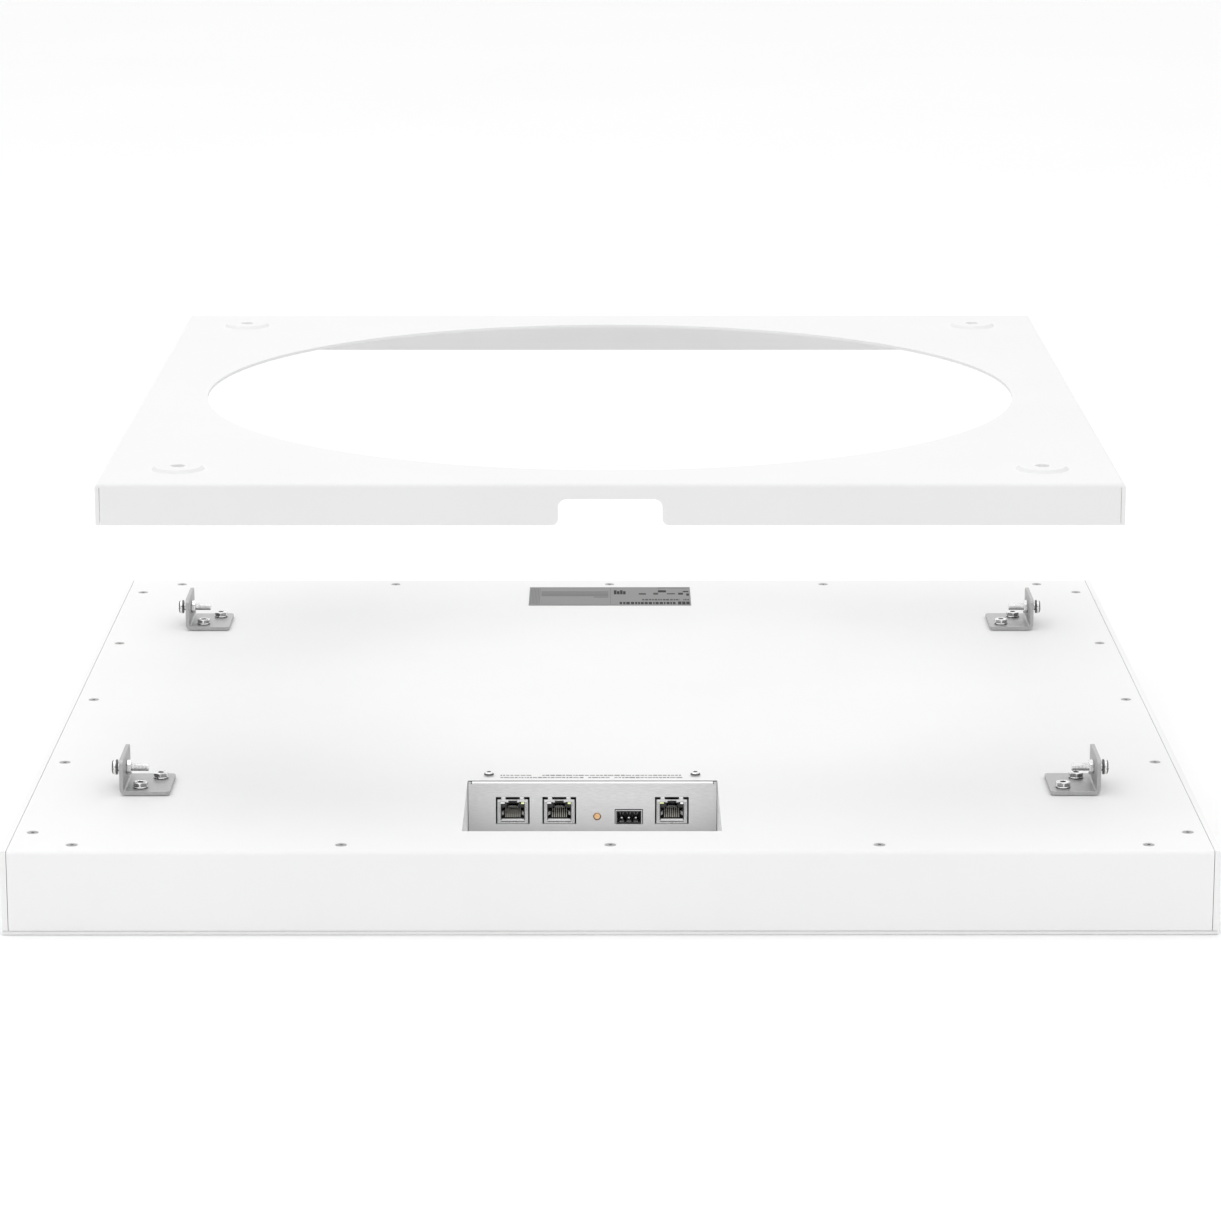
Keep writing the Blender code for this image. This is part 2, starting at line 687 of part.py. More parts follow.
# ================================================================ brackets
def make_brackets(finish, parent):
    """Angle brackets: a base screwed to the tile and an upright with a hole for the side screw."""
    top = BRACKET_HEIGHT - GAP
    sheet = BRACKET_SHEET
    bend = (BRACKET_BEND, BRACKET_BEND)
    outline = [(0, top)]
    outline += arc(bend, BRACKET_BEND, 180, 270)
    outline += [(BRACKET_BASE, 0), (BRACKET_BASE, sheet)]
    outline += arc(bend, BRACKET_BEND - sheet, 270, 180)
    outline += [(sheet, top)]
    half = BRACKET_LENGTH / 2
    strip = prism(outline, -half, half, "Y")
    head = []
    foot = []
    for edge in strip.edges:
        along = edge.verts[0].co - edge.verts[1].co
        middle = (edge.verts[0].co + edge.verts[1].co) / 2
        if abs(along.z) > sheet / 2 and middle.x > BRACKET_BASE - TOUCH:
            foot.append(edge)
        if abs(along.x) > sheet / 2 and middle.z > top - TOUCH:
            head.append(edge)
    for edges, radius in ((foot, BRACKET_FOOT_CORNER), (head, BRACKET_TOP_CORNER)):
        bmesh.ops.bevel(
            strip, geom=edges, offset=radius, segments=CORNER_STEPS, profile=0.5, affect="EDGES"
        )
    cutters = [
        drill(inward, along, M4_HOLE_RADIUS, -OVERSHOOT, sheet + OVERSHOOT) for inward, along in HEX_SCREWS
    ]
    across = ((M4_HOLE_RADIUS, -OVERSHOOT), (M4_HOLE_RADIUS, sheet + OVERSHOOT))
    cutters.append(turned(across, SMALL, (0, 0, SIDE_SCREW_Z - BRACKET_BOTTOM), "X"))
    mesh = finished_mesh("bracket", strip, [joined(cutters)])
    for number, (x, y, turn) in enumerate(bracket_places(), 1):
        place("bracket_%d" % number, mesh, finish, parent, (x, y, BRACKET_BOTTOM), turn)


def hexagon(flats_half, low, high, turn=0.0):
    """A hexagonal block along Z."""
    reach = flats_half / math.cos(math.radians(30))
    points = []
    for i in range(6):
        angle = math.radians(60 * i + turn)
        points.append((reach * math.cos(angle), reach * math.sin(angle)))
    return prism(points, low, high, "Z")


def make_hex_screws(finish, parent):
    """M4 hexagon-head screws with a washer face, two in each bracket."""
    base = WASHER_SHEET
    profile = ((M4_RADIUS, -HEX_SHANK), (M4_RADIUS, 0), (WASHER_RADIUS, 0), (WASHER_RADIUS, base))
    shank = turned(profile, ROUND)
    head = hexagon(HEX_FLATS_HALF, base / 2, base + HEX_HEAD, 30)
    top = base + HEX_HEAD
    recess = drill(0, 0, HEX_RECESS_RADIUS, top - HEX_RECESS_DEPTH, top + OVERSHOOT, HIDDEN)
    mesh = finished_mesh("hex_screw", shank, [recess], [head])
    seat = BRACKET_BOTTOM + BRACKET_SHEET + GAP
    for number, (x, y) in enumerate(hex_screw_places(), 1):
        place("hex_screw_%d" % number, mesh, finish, parent, (x, y, seat))


def make_side_screws(finish, parent):
    """M4 screws along X; the frame's side walls drop in between their heads and the brackets."""
    head_face = -SIDE_HEAD_GAP
    head_end = head_face - SIDE_HEAD
    tip = head_face + SIDE_SCREW_LENGTH - SIDE_HEAD
    rim = SIDE_SCREW_EDGE
    profile = [(SIDE_HEAD_RADIUS - 2 * rim, head_end), (SIDE_HEAD_RADIUS, head_end + 2 * rim)]
    profile += [(SIDE_HEAD_RADIUS, head_face), (M4_RADIUS, head_face)]
    profile += [(M4_RADIUS, tip - rim), (M4_RADIUS - rim, tip)]
    body = turned(profile, ROUND, axis="X")
    reach = SIDE_HEAD_RADIUS + OVERSHOOT
    slot = box(
        (head_end - OVERSHOOT, -SIDE_SLOT_WIDTH / 2, -reach),
        (head_end + SIDE_SLOT_DEPTH, SIDE_SLOT_WIDTH / 2, reach),
    )
    mesh = finished_mesh("side_screw", body, [slot])
    for number, (x, y, turn) in enumerate(bracket_places(), 1):
        place("side_screw_%d" % number, mesh, finish, parent, (x, y, SIDE_SCREW_Z), turn)


def make_side_nuts(finish, parent):
    """Thin M4 nuts on the inner side of the brackets."""
    start = BRACKET_SHEET + GAP
    nut = hexagon(HEX_FLATS_HALF, start, start + NUT_THICKNESS)
    bmesh.ops.transform(nut, matrix=Matrix.Rotation(math.pi / 2, 4, "Y"), verts=nut.verts)
    bore = turned(((M4_HOLE_RADIUS, 0), (M4_HOLE_RADIUS, 3 * NUT_THICKNESS)), SMALL, axis="X")
    mesh = finished_mesh("side_nut", nut, [bore])
    for number, (x, y, turn) in enumerate(bracket_places(), 1):
        place("side_nut_%d" % number, mesh, finish, parent, (x, y, SIDE_SCREW_Z), turn)


# ================================================================ mounting frame
def frame_shell():
    """Box with rounded upper edges, open below."""
    half = FRAME_HALF
    shell = box((-half, -half, 0), (half, half, FRAME_HEIGHT))
    upper = [edge for edge in shell.edges if min(v.co.z for v in edge.verts) > FRAME_BEND]
    bmesh.ops.bevel(shell, geom=upper, offset=FRAME_BEND, segments=BEND_STEPS, profile=0.5, affect="EDGES")
    return shell


def notch_outline():
    """Cable notch in the front wall, as (X, Z) points."""
    half = NOTCH_WIDTH / 2
    top = NOTCH_HEIGHT
    inner = NOTCH_TOP_RADIUS
    foot = NOTCH_FOOT_RADIUS
    outline = [(half + foot, -OVERSHOOT)]
    outline += arc((half + foot, foot), foot, 270, 180)
    outline += arc((half - inner, top - inner), inner, 0, 90)
    outline += arc((-half + inner, top - inner), inner, 90, 180)
    outline += arc((-half - foot, foot), foot, 0, -90)
    outline += [(-half - foot, -OVERSHOOT)]
    return outline


def slot_outline():
    """Slot that drops over a side screw, as (Y, Z) points about its own centre line."""
    half = SLOT_WIDTH / 2
    lead = SLOT_LEAD
    outline = [(-half - lead, -OVERSHOOT), (-half - lead, 0), (-half, lead)]
    outline += arc((0, SLOT_CENTRE), half, 180, 0, 2 * BEND_STEPS)
    outline += [(half, lead), (half + lead, 0), (half + lead, -OVERSHOOT)]
    return outline


def make_mounting_frame(finish):
    """Square frame with a round opening, four bosses, a cable notch and four screw slots."""
    half = FRAME_HALF
    inner = half - FRAME_SHEET
    top = FRAME_HEIGHT
    bosses = []
    dimples = []
    holes = []
    for x in (-BOSS_AT, BOSS_AT):
        for y in (-BOSS_AT, BOSS_AT):
            raised = (
                (BOSS_BASE_RADIUS, top - FRAME_SHEET / 2),
                (BOSS_BASE_RADIUS, top),
                (BOSS_TOP_RADIUS, top + BOSS_HEIGHT),
            )
            bosses.append(turned(raised, 2 * ROUND, (x, y, 0)))
            pressed = (
                (BOSS_BASE_RADIUS - FRAME_SHEET, top - 2 * FRAME_SHEET),
                (BOSS_BASE_RADIUS - FRAME_SHEET, top - FRAME_SHEET),
                (BOSS_TOP_RADIUS - FRAME_SHEET, top + BOSS_HEIGHT - FRAME_SHEET),
            )
            dimples.append(turned(pressed, 2 * ROUND, (x, y, 0)))
            holes.append(drill(x, y, BOSS_HOLE_RADIUS, 0, top + 2 * BOSS_HEIGHT, ROUND))
    hollow = box((-inner, -inner, -OVERSHOOT), (inner, inner, top - FRAME_SHEET))
    opening = drill(0, 0, FRAME_OPENING_RADIUS, -OVERSHOOT, top + OVERSHOOT, FINE)
    cuts = [hollow, opening, joined(dimples), joined(holes)]
    cuts.append(prism(notch_outline(), -half - OVERSHOOT, -inner + OVERSHOOT, "Y"))
    slots = []
    seams = []
    for side in (-1, 1):
        ends = sorted((side * (half + OVERSHOOT), side * (inner - OVERSHOOT)))
        seam_x = sorted((side * (half - CORNER_STRIP), side * (half - CORNER_STRIP - CORNER_SEAM)))
        for end in (-1, 1):
            outline = [(y + end * BRACKET_Y, z) for y, z in slot_outline()]
            slots.append(prism(outline, *ends))
            seam_y = sorted((end * (half + OVERSHOOT), end * (inner - GAP)))
            low = (seam_x[0], seam_y[0], -OVERSHOOT)
            seams.append(box(low, (seam_x[1], seam_y[1], top - FRAME_BEND)))
    cuts.append(joined(slots))
    cuts.append(joined(seams))
    mesh = finished_mesh("mounting_frame", frame_shell(), cuts, [joined(bosses)])
    lifted = empty("frame_lift_slide", (0, 0, FRAME_SEAT + FRAME_LIFT))
    place("mounting_frame", mesh, finish, lifted)


# ================================================================ the whole unit
def main():
    """Model the tile and the frame above it."""
    clear_scene()
    white = material("white_powder_coat", (0.86, 0.86, 0.85), 0.55)
    frame_white = material("frame_powder_coat", (0.82, 0.82, 0.82), 0.55)
    aluminium = material("brushed_aluminium", (0.66, 0.66, 0.67), 0.35, 1.0)
    zinc = material("zinc_plate", (0.52, 0.52, 0.52), 0.40, 1.0)
    steel = material("screw_steel", (0.62, 0.62, 0.63), 0.25, 1.0)
    grey_screw = material("grey_screw", (0.45, 0.45, 0.46), 0.40, 0.8)
    shield = material("jack_shield", (0.60, 0.60, 0.60), 0.30, 1.0)
    black = material("black_plastic", (0.02, 0.02, 0.02), 0.50)
    orange = material("orange_plastic", (0.95, 0.42, 0.14), 0.40)
    label = material("label_grey", (0.60, 0.60, 0.60), 0.60)
    cloth = material("acoustic_cloth", (0.10, 0.10, 0.10), 0.95)
    board = material("circuit_board", (0.03, 0.16, 0.07), 0.45)
    light = material("light_pipe", (0.90, 0.92, 0.95), 0.20)

    tile = empty("tile")
    make_rear_cover(white, tile)
    make_chassis(white, tile)
    make_grille(white, tile)
    make_acoustic_cloth(cloth, tile)
    make_status_light(light, tile)
    make_array_board(board, tile)
    make_main_board(board, tile)
    make_type_label(label, tile)
    make_perimeter_screws(grey_screw, tile)

    make_connector_pocket(white, tile)
    make_connector_plate(aluminium, tile)
    make_plate_screws(steel, tile)
    make_network_jacks(shield, tile)
    make_terminal_header(black, tile)
    make_reset_switch(black, tile)
    make_reset_button(orange, tile)
    make_io_board(board, tile)

    make_brackets(zinc, tile)
    make_hex_screws(steel, tile)
    make_side_screws(steel, tile)
    make_side_nuts(steel, tile)

    make_mounting_frame(frame_white)


if __name__ == "__main__":
    main()
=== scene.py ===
"""Looks of the ceiling tile unit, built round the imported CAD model.

Everything is in metres in the CAD frame: the tile lies face down at z = 0 and -Y is its connector side.
"""

import math
import random

import bmesh
import bpy
from mathutils import Matrix, Vector


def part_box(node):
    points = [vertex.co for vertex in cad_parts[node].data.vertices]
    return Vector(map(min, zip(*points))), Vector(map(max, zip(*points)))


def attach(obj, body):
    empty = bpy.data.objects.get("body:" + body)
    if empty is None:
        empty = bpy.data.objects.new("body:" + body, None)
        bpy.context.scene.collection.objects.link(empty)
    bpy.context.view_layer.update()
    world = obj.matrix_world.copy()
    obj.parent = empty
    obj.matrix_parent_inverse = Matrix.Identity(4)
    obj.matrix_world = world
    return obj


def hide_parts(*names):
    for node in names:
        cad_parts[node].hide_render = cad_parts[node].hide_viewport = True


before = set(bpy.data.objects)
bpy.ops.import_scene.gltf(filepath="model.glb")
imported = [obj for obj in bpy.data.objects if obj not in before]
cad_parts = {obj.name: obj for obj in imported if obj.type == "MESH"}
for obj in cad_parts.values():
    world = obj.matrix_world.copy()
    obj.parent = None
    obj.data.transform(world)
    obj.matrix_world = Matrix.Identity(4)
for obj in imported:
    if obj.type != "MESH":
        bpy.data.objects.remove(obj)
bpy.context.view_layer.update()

# ---------------------------------------------------------------- camera and light
CAMERA_PLACE = (-0.0019, -2.3035, 0.6340)
CAMERA_PITCH = math.radians(13.245)
CAMERA_YAW = math.radians(0.0555)
CAMERA_LENS = 128.48
FLOOR_HALF = 40.0
FLOOR_DROP = 0.0001
LIGHT_PLACE = (-0.6, -0.3, 2.7)
LIGHT_AIM = (0, 0, 0.1)
LIGHT_SIZE = 2.5
LIGHT_POWER = 14.0
WORLD_STRENGTH = 1.085
FLAG_TONE = 0.08
# where each flag starts and ends, as components of the direction it is seen in
SIDE_FLAG = (0.50, 0.80)
REAR_FLAG = (-0.96, -0.87)
FLAG_FOOT = (0.08, 0.16)
FLAG_HEAD = (0.34, 0.50)

# ---------------------------------------------------------------- bodies
TILE = "tile"
BUTTON_BODY = "reset_button"

# ---------------------------------------------------------------- shared sizes, in metres
MM = 0.001
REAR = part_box("rear_cover")[1].z
# painted shade: the connector plate's aluminium is painted darker from a height of 34 mm down to the
# pocket's floor
POCKET_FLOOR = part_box("connector_plate")[0].z
PLATE_SHADE_TOP = 34 * MM
INK_THICKNESS = 0.05 * MM
# M4 fasteners: HEX_HALF is half the width across flats, HEX_CORNER how far the turned corners reach
THREAD_RADIUS = 2.0 * MM
THREAD_PITCH = 0.7 * MM
HEX_HALF = 3.5 * MM
HEX_CORNER = 1.10 * HEX_HALF
HEX_CHAMFER = math.tan(math.radians(30))
WASHER_TOP = 1.02 * MM
BRACKET_SHEET = 2.0 * MM
# top of a hexagon bolt above its bracket
HEX_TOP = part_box("hex_screw_1")[1].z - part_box("bracket_1")[0].z - BRACKET_SHEET
# gap between a bracket's wall and its side screw's head, where the frame's edge goes
SIDE_HEAD_GAP = 2.5 * MM
# height of a pan screw's seat above the rear cover
PAN_SEAT = 0.3 * MM
# corners in a round ring, and the angle past which an edge stays sharp
ROUND = 48
CREASE = math.radians(32)


# ================================================================ surfaces
class Surface:
    """A Principled material and the nodes that feed it, in object coordinates (metres).

    noise() and spots() take the size of their features, and bump() the height of its relief, in metres.
    """

    def __init__(self, name, roughness, metallic=0.0, **constants):
        self.material = bpy.data.materials.new(name)
        self.material.use_nodes = True
        self.tree = self.material.node_tree
        self.shader = self.tree.nodes["Principled BSDF"]
        self.shader.inputs["Roughness"].default_value = roughness
        self.shader.inputs["Metallic"].default_value = metallic
        for socket, value in constants.items():
            self.shader.inputs[socket.replace("_", " ")].default_value = value
        self.normal = None

    def node(self, kind, inputs, **settings):
        """A node with its settings, and each input linked or filled in."""
        made = self.tree.nodes.new(kind)
        for key, value in settings.items():
            setattr(made, key, value)
        for socket, value in inputs.items():
            if isinstance(value, bpy.types.NodeSocket):
                self.tree.links.new(value, made.inputs[socket])
            else:
                made.inputs[socket].default_value = value
        return made

    def place(self, stretch=(1, 1, 1)):
        """Object coordinates, stretched."""
        source = self.node("ShaderNodeTexCoord", {})
        inputs = {"Vector": source.outputs["Object"], "Scale": stretch}
        return self.node("ShaderNodeMapping", inputs).outputs["Vector"]

    def noise(self, size, detail=2.0, stretch=(1, 1, 1), rough=0.5):
        """Noise whose features are about size metres wide."""
        inputs = {"Vector": self.place(stretch), "Scale": 1.0 / size, "Detail": detail, "Roughness": rough}
        return self.node("ShaderNodeTexNoise", inputs).outputs["Fac"]

    def spots(self, size, **settings):
        """Distance to the nearest of scattered points about size metres apart."""
        inputs = {"Vector": self.place(), "Scale": 1.0 / size}
        return self.node("ShaderNodeTexVoronoi", inputs, **settings).outputs["Distance"]

    def height(self):
        """Height in the object's own coordinates."""
        return self.node("ShaderNodeSeparateXYZ", {"Vector": self.place()}).outputs["Z"]

    def upness(self):
        """Upward part of the object's own normal."""
        source = self.node("ShaderNodeTexCoord", {})
        return self.node("ShaderNodeSeparateXYZ", {"Vector": source.outputs["Normal"]}).outputs["Z"]

    def level(self, factor, low, high, start=0.3, end=0.7):
        """A factor spread between two numbers."""
        inputs = {"Value": factor, "From Min": start, "From Max": end, "To Min": low, "To Max": high}
        return self.node("ShaderNodeMapRange", inputs).outputs["Result"]

    def math(self, operation, first, second):
        """Arithmetic on two numbers."""
        return self.node("ShaderNodeMath", {0: first, 1: second}, operation=operation).outputs[0]

    def blend(self, factor, first, second):
        """Two colours mixed by a factor."""
        inputs = {"Factor": factor, "A": with_alpha(first), "B": with_alpha(second)}
        mixed = self.tree.nodes.new("ShaderNodeMix")
        mixed.data_type = "RGBA"
        for name, value in inputs.items():
            socket = [s for s in mixed.inputs if s.name == name and s.enabled][0]
            if isinstance(value, bpy.types.NodeSocket):
                self.tree.links.new(value, socket)
            else:
                socket.default_value = value
        return [s for s in mixed.outputs if s.enabled][0]

    def colour(self, source):
        """Feed the base colour."""
        self.tree.links.new(source, self.shader.inputs["Base Color"])

    def roughness(self, source):
        """Feed the roughness."""
        self.tree.links.new(source, self.shader.inputs["Roughness"])

    def bump(self, height, distance):
        """Add relief whose full height is distance metres."""
        inputs = {"Height": height, "Distance": distance, "Strength": 1.0}
        if self.normal is not None:
            inputs["Normal"] = self.normal
        self.normal = self.node("ShaderNodeBump", inputs).outputs["Normal"]
        self.tree.links.new(self.normal, self.shader.inputs["Normal"])


def with_alpha(colour):
    """A colour socket as it is, or three numbers with an alpha added."""
    if isinstance(colour, bpy.types.NodeSocket):
        return colour
    return (*colour, 1.0)


def grey(value):
    """A neutral colour."""
    return (value, value, value)


def powder_coat(name, bright, dim):
    """Matt white powder coat: fine orange peel, with faint cloudiness and specks."""
    made = Surface(name, 0.55, Specular_IOR_Level=0.35)
    cloud = made.level(made.noise(0.090, 3.0), 0.0, 1.0)
    tone = made.blend(cloud, dim, bright)
    speck = made.level(made.noise(0.0007, 1.0), 0.0, 0.35, 0.62, 0.78)
    made.colour(made.blend(speck, tone, dim))
    peel = made.noise(0.0011, 3.0, rough=0.6)
    made.roughness(made.level(peel, 0.50, 0.62))
    made.bump(peel, 0.000012)
    return made.material


def satin_aluminium():
    """Rolled aluminium with its grain along X, with a painted highlight on the fold's upward faces and
    painted shade that darkens it towards the pocket's floor.
    """
    made = Surface("satin_aluminium", 0.36, 1.0, Anisotropic=0.25)
    grain = made.noise(0.0004, 3.0, (0.12, 1.0, 1.0), 0.7)
    mottle = made.noise(0.0045, 3.0)
    tone = made.blend(made.level(grain, 0.0, 1.0), grey(0.80), grey(0.96))
    tone = made.blend(made.level(mottle, 0.0, 0.30), tone, grey(0.84))
    # painted shade: the plate darkens towards grey 0.56 as it nears the pocket's floor
    foot = made.level(made.height(), 0.85, 0.0, POCKET_FLOOR, PLATE_SHADE_TOP)
    tone = made.blend(foot, tone, grey(0.56))
    # painted highlight: faces of the fold that face up turn white
    fold = made.level(made.upness(), 0.0, 1.0, 0.25, 0.50)
    made.colour(made.blend(fold, tone, grey(1.0)))
    made.roughness(made.level(grain, 0.30, 0.46))
    made.bump(grain, 0.0000035)
    return made.material


def dull_zinc():
    """Passivated zinc on steel: grey with a fine speckle and faint clouds, and painted shade that darkens
    every face that does not face up.
    """
    made = Surface("dull_zinc", 0.50, 1.0)
    speckle = made.level(made.noise(0.00045, 3.0), 0.0, 1.0)
    cloud = made.level(made.noise(0.007, 3.0), 0.0, 0.30)
    tone = made.blend(speckle, grey(0.50), grey(0.62))
    # painted shade: faces that do not face up are darkened towards grey 0.36
    tone = made.blend(made.level(made.upness(), 0.45, 0.0, 0.2, 0.8), tone, grey(0.36))
    made.colour(made.blend(cloud, tone, grey(0.50)))
    made.roughness(made.level(made.noise(0.0009, 3.0), 0.44, 0.58))
    made.bump(made.noise(0.0004, 3.0), 0.000007)
    return made.material


def bright_steel(name, tone, roughness, metallic=1.0):
    """Plated fastener steel with faint turning marks and handling wear."""
    made = Surface(name, roughness, metallic)
    wear = made.level(made.noise(0.0008, 4.0), 0.0, 1.0)
    made.colour(made.blend(wear, grey(tone * 0.86), grey(tone)))
    made.roughness(made.level(made.noise(0.0004, 3.0), roughness * 0.75, roughness * 1.3))
    made.bump(made.noise(0.0003, 2.0), 0.000002)
    return made.material


def tinned_shield():
    """Stamped tin-plated sheet of the jacks."""
    made = Surface("tinned_shield", 0.34, 1.0)
    streak = made.noise(0.0006, 3.0, (1.0, 1.0, 0.2), 0.6)
    made.colour(made.blend(made.level(streak, 0.0, 1.0), grey(0.48), grey(0.72)))
    made.roughness(made.level(streak, 0.26, 0.46))
    made.bump(streak, 0.000006)
    return made.material


def moulded(name, dark, light, roughness, relief=0.000008):
    """Moulded plastic with a fine texture."""
    made = Surface(name, roughness)
    texture = made.noise(0.00035, 3.0)
    haze = made.level(made.noise(0.004, 3.0), 0.0, 1.0)
    made.colour(made.blend(haze, dark, light))
    made.roughness(made.level(texture, roughness * 0.85, roughness * 1.2))
    made.bump(texture, relief)
    return made.material


def gold_contacts():
    """Gold-flashed spring wires, dull in the shade of the socket."""
    made = Surface("gold_contacts", 0.45, 0.35)
    rub = made.level(made.noise(0.0006, 3.0), 0.0, 1.0)
    made.colour(made.blend(rub, (0.72, 0.69, 0.60), (0.90, 0.88, 0.80)))
    made.bump(rub, 0.000002)
    return made.material


def circuit_board():
    """Green solder mask with copper tracks showing under it as a fine relief."""
    made = Surface("circuit_board", 0.38, Specular_IOR_Level=0.5)
    inputs = {
        "Vector": made.place(),
        "Scale": 260.0,
        "Mortar Size": 0.012,
        "Row Height": 0.35,
        "Brick Width": 2.6,
    }
    bricks = made.node("ShaderNodeTexBrick", inputs).outputs["Fac"]
    cells = made.level(made.spots(0.004, distance="CHEBYCHEV"), 0.0, 1.0, 0.25, 0.3)
    tracks = made.math("MAXIMUM", bricks, made.math("MULTIPLY", cells, 0.5))
    made.colour(made.blend(tracks, (0.012, 0.085, 0.040), (0.030, 0.160, 0.075)))
    made.roughness(made.level(made.noise(0.003, 2.0), 0.30, 0.46))
    made.bump(tracks, 0.00003)
    return made.material


def woven_cloth():
    """Dark acoustic cloth, plain weave."""
    made = Surface("woven_cloth", 0.95, Sheen_Weight=0.3, Sheen_Roughness=0.6)
    across = made.node("ShaderNodeTexWave", {"Vector": made.place(), "Scale": 320.0}, bands_direction="X")
    along = made.node("ShaderNodeTexWave", {"Vector": made.place(), "Scale": 320.0}, bands_direction="Y")
    weave = made.math("MULTIPLY", across.outputs["Fac"], along.outputs["Fac"])
    fluff = made.noise(0.0009, 4.0)
    tone = made.blend(weave, grey(0.020), grey(0.090))
    made.colour(made.blend(made.level(fluff, 0.0, 0.4), tone, grey(0.055)))
    made.bump(weave, 0.00012)
    made.bump(fluff, 0.00004)
    return made.material


def label_foil():
    """Grey printed foil with a faint satin grain."""
    made = Surface("label_foil", 0.45, Specular_IOR_Level=0.1)
    grain = made.noise(0.0005, 3.0, (0.15, 1.0, 1.0))
    made.colour(made.blend(made.level(grain, 0.0, 1.0), grey(0.235), grey(0.270)))
    made.roughness(made.level(grain, 0.36, 0.50))
    made.bump(grain, 0.000003)
    return made.material


def printed(name, tone):
    """Screen-printed ink, slightly uneven."""
    made = Surface(name, 0.6, Specular_IOR_Level=0.1)
    made.colour(made.blend(made.level(made.noise(0.0006, 3.0), 0.0, 1.0), grey(tone * 0.85), grey(tone)))
    made.bump(made.noise(0.0003, 2.0), 0.000004)
    return made.material


def light_window(name, tint, glow):
    """Milky light pipe with a faint glow."""
    made = Surface(name, 0.30, Specular_IOR_Level=0.5)
    cloud = made.level(made.noise(0.0008, 2.0), 0.0, 1.0)
    made.colour(made.blend(cloud, tuple(c * 0.86 for c in tint), tint))
    made.shader.inputs["Emission Color"].default_value = (*tint, 1.0)
    made.shader.inputs["Emission Strength"].default_value = glow
    made.bump(cloud, 0.000005)
    return made.material


def pale_floor():
    """Plain pale studio floor."""
    made = Surface("pale_floor", 0.9, Specular_IOR_Level=0.1)
    made.colour(made.blend(made.level(made.noise(0.4, 2.0), 0.0, 1.0), grey(0.965), grey(0.975)))
    return made.material


# ================================================================ shapes
def box(low, high):
    """A box between two corners."""
    shape = bmesh.new()
    bmesh.ops.create_cube(shape, size=1.0)
    size = Vector(high) - Vector(low)
    place = Matrix.Translation((Vector(high) + Vector(low)) / 2) @ Matrix.Diagonal((*size, 1.0))
    bmesh.ops.transform(shape, matrix=place, verts=shape.verts)
    return shape


def soft_box(low, high, radius):
    """A box with rounded edges."""
    shape = box(low, high)
    bmesh.ops.bevel(shape, geom=list(shape.edges), offset=radius, segments=2, profile=0.5, affect="EDGES")
    return shape


def skin(shape, rows):
    """Faces between each closed row of corners and the next."""
    for lower, upper in zip(rows, rows[1:]):
        for i in range(len(lower)):
            j = (i + 1) % len(lower)
            shape.faces.new((lower[i], lower[j], upper[j], upper[i]))


def in_mm(points, base=0.0):
    """Pairs given in millimetres, the second of each measured from a base in metres."""
    return [(u * MM, base + v * MM) for u, v in points]


def prism(outline, start, end, axis="X"):
    """A closed outline pushed along X or Y; the outline holds the other two coordinates in order."""
    shape = bmesh.new()
    rows = []
    for along in (start, end):
        points = [(along, u, v) if axis == "X" else (u, along, v) for u, v in outline]
        rows.append([shape.verts.new(point) for point in points])
    shape.faces.new(rows[0])
    shape.faces.new(rows[1])
    skin(shape, rows)
    bmesh.ops.recalc_face_normals(shape, faces=shape.faces)
    return shape


def strip(path, thickness, start, end):
    """A sheet-metal strip: a path of (Y, Z) points with a thickness, pushed along X."""
    left, right = [], []
    for i, point in enumerate(path):
        before = Vector(path[max(i - 1, 0)])
        after = Vector(path[min(i + 1, len(path) - 1)])
        along = (after - before).normalized()
        side = Vector((-along.y, along.x)) * thickness / 2
        left.append(tuple(Vector(point) + side))
        right.append(tuple(Vector(point) - side))
    return prism(left + right[::-1], start, end)


def ring_rows(shape, rings):
    """Rows of corners round Z from rings of (radius, height) pairs, one pair for each angle."""
    rows = []
    for ring in rings:
        row = []
        for i, (radius, height) in enumerate(ring):
            angle = 2 * math.pi * i / len(ring)
            row.append(shape.verts.new((radius * math.cos(angle), radius * math.sin(angle), height)))
        rows.append(row)
    return rows


def lofted(rings):
    """A closed body round Z through the rings."""
    shape = bmesh.new()
    rows = ring_rows(shape, rings)
    skin(shape, rows)
    for row in (rows[0], rows[-1]):
        centre = shape.verts.new((0, 0, sum(v.co.z for v in row) / len(row)))
        for i in range(len(row)):
            shape.faces.new((row[i], row[(i + 1) % len(row)], centre))
    bmesh.ops.recalc_face_normals(shape, faces=shape.faces)
    return shape


def even(radius, height, count=ROUND):
    """A round ring."""
    return [(radius, height)] * count


def even_rings(profile, count=ROUND, base=0.0):
    """Round rings from (radius, height) pairs in millimetres, the heights measured from a base in metres."""
    return [even(radius, height, count) for radius, height in in_mm(profile, base)]


def moved(shape, matrix):
    """The shape after a transform."""
    bmesh.ops.transform(shape, matrix=matrix, verts=shape.verts)
    return shape


def joined(shapes):
    """Several shapes in one mesh."""
    whole = bmesh.new()
    for shape in shapes:
        mesh = bpy.data.meshes.new("joined")
        shape.to_mesh(mesh)
        shape.free()
        whole.from_mesh(mesh)
        bpy.data.meshes.remove(mesh)
    return whole


def mesh_of(name, shape, material):
    """A finished mesh with smooth sides and sharp creases."""
    mesh = bpy.data.meshes.new(name)
    shape.to_mesh(mesh)
    shape.free()
    mesh.shade_smooth()
    mesh.set_sharp_from_angle(angle=CREASE)
    mesh.materials.append(material)
    return mesh


def painted_shade_faces(mesh, material, chosen):
    """Give the faces that chosen(centre, normal) picks a further, darker material, for painted shade and
    painted dark reflection.
    """
    mesh.materials.append(material)
    index = len(mesh.materials) - 1
    for face in mesh.polygons:
        if chosen(face.center, face.normal):
            face.material_index = index


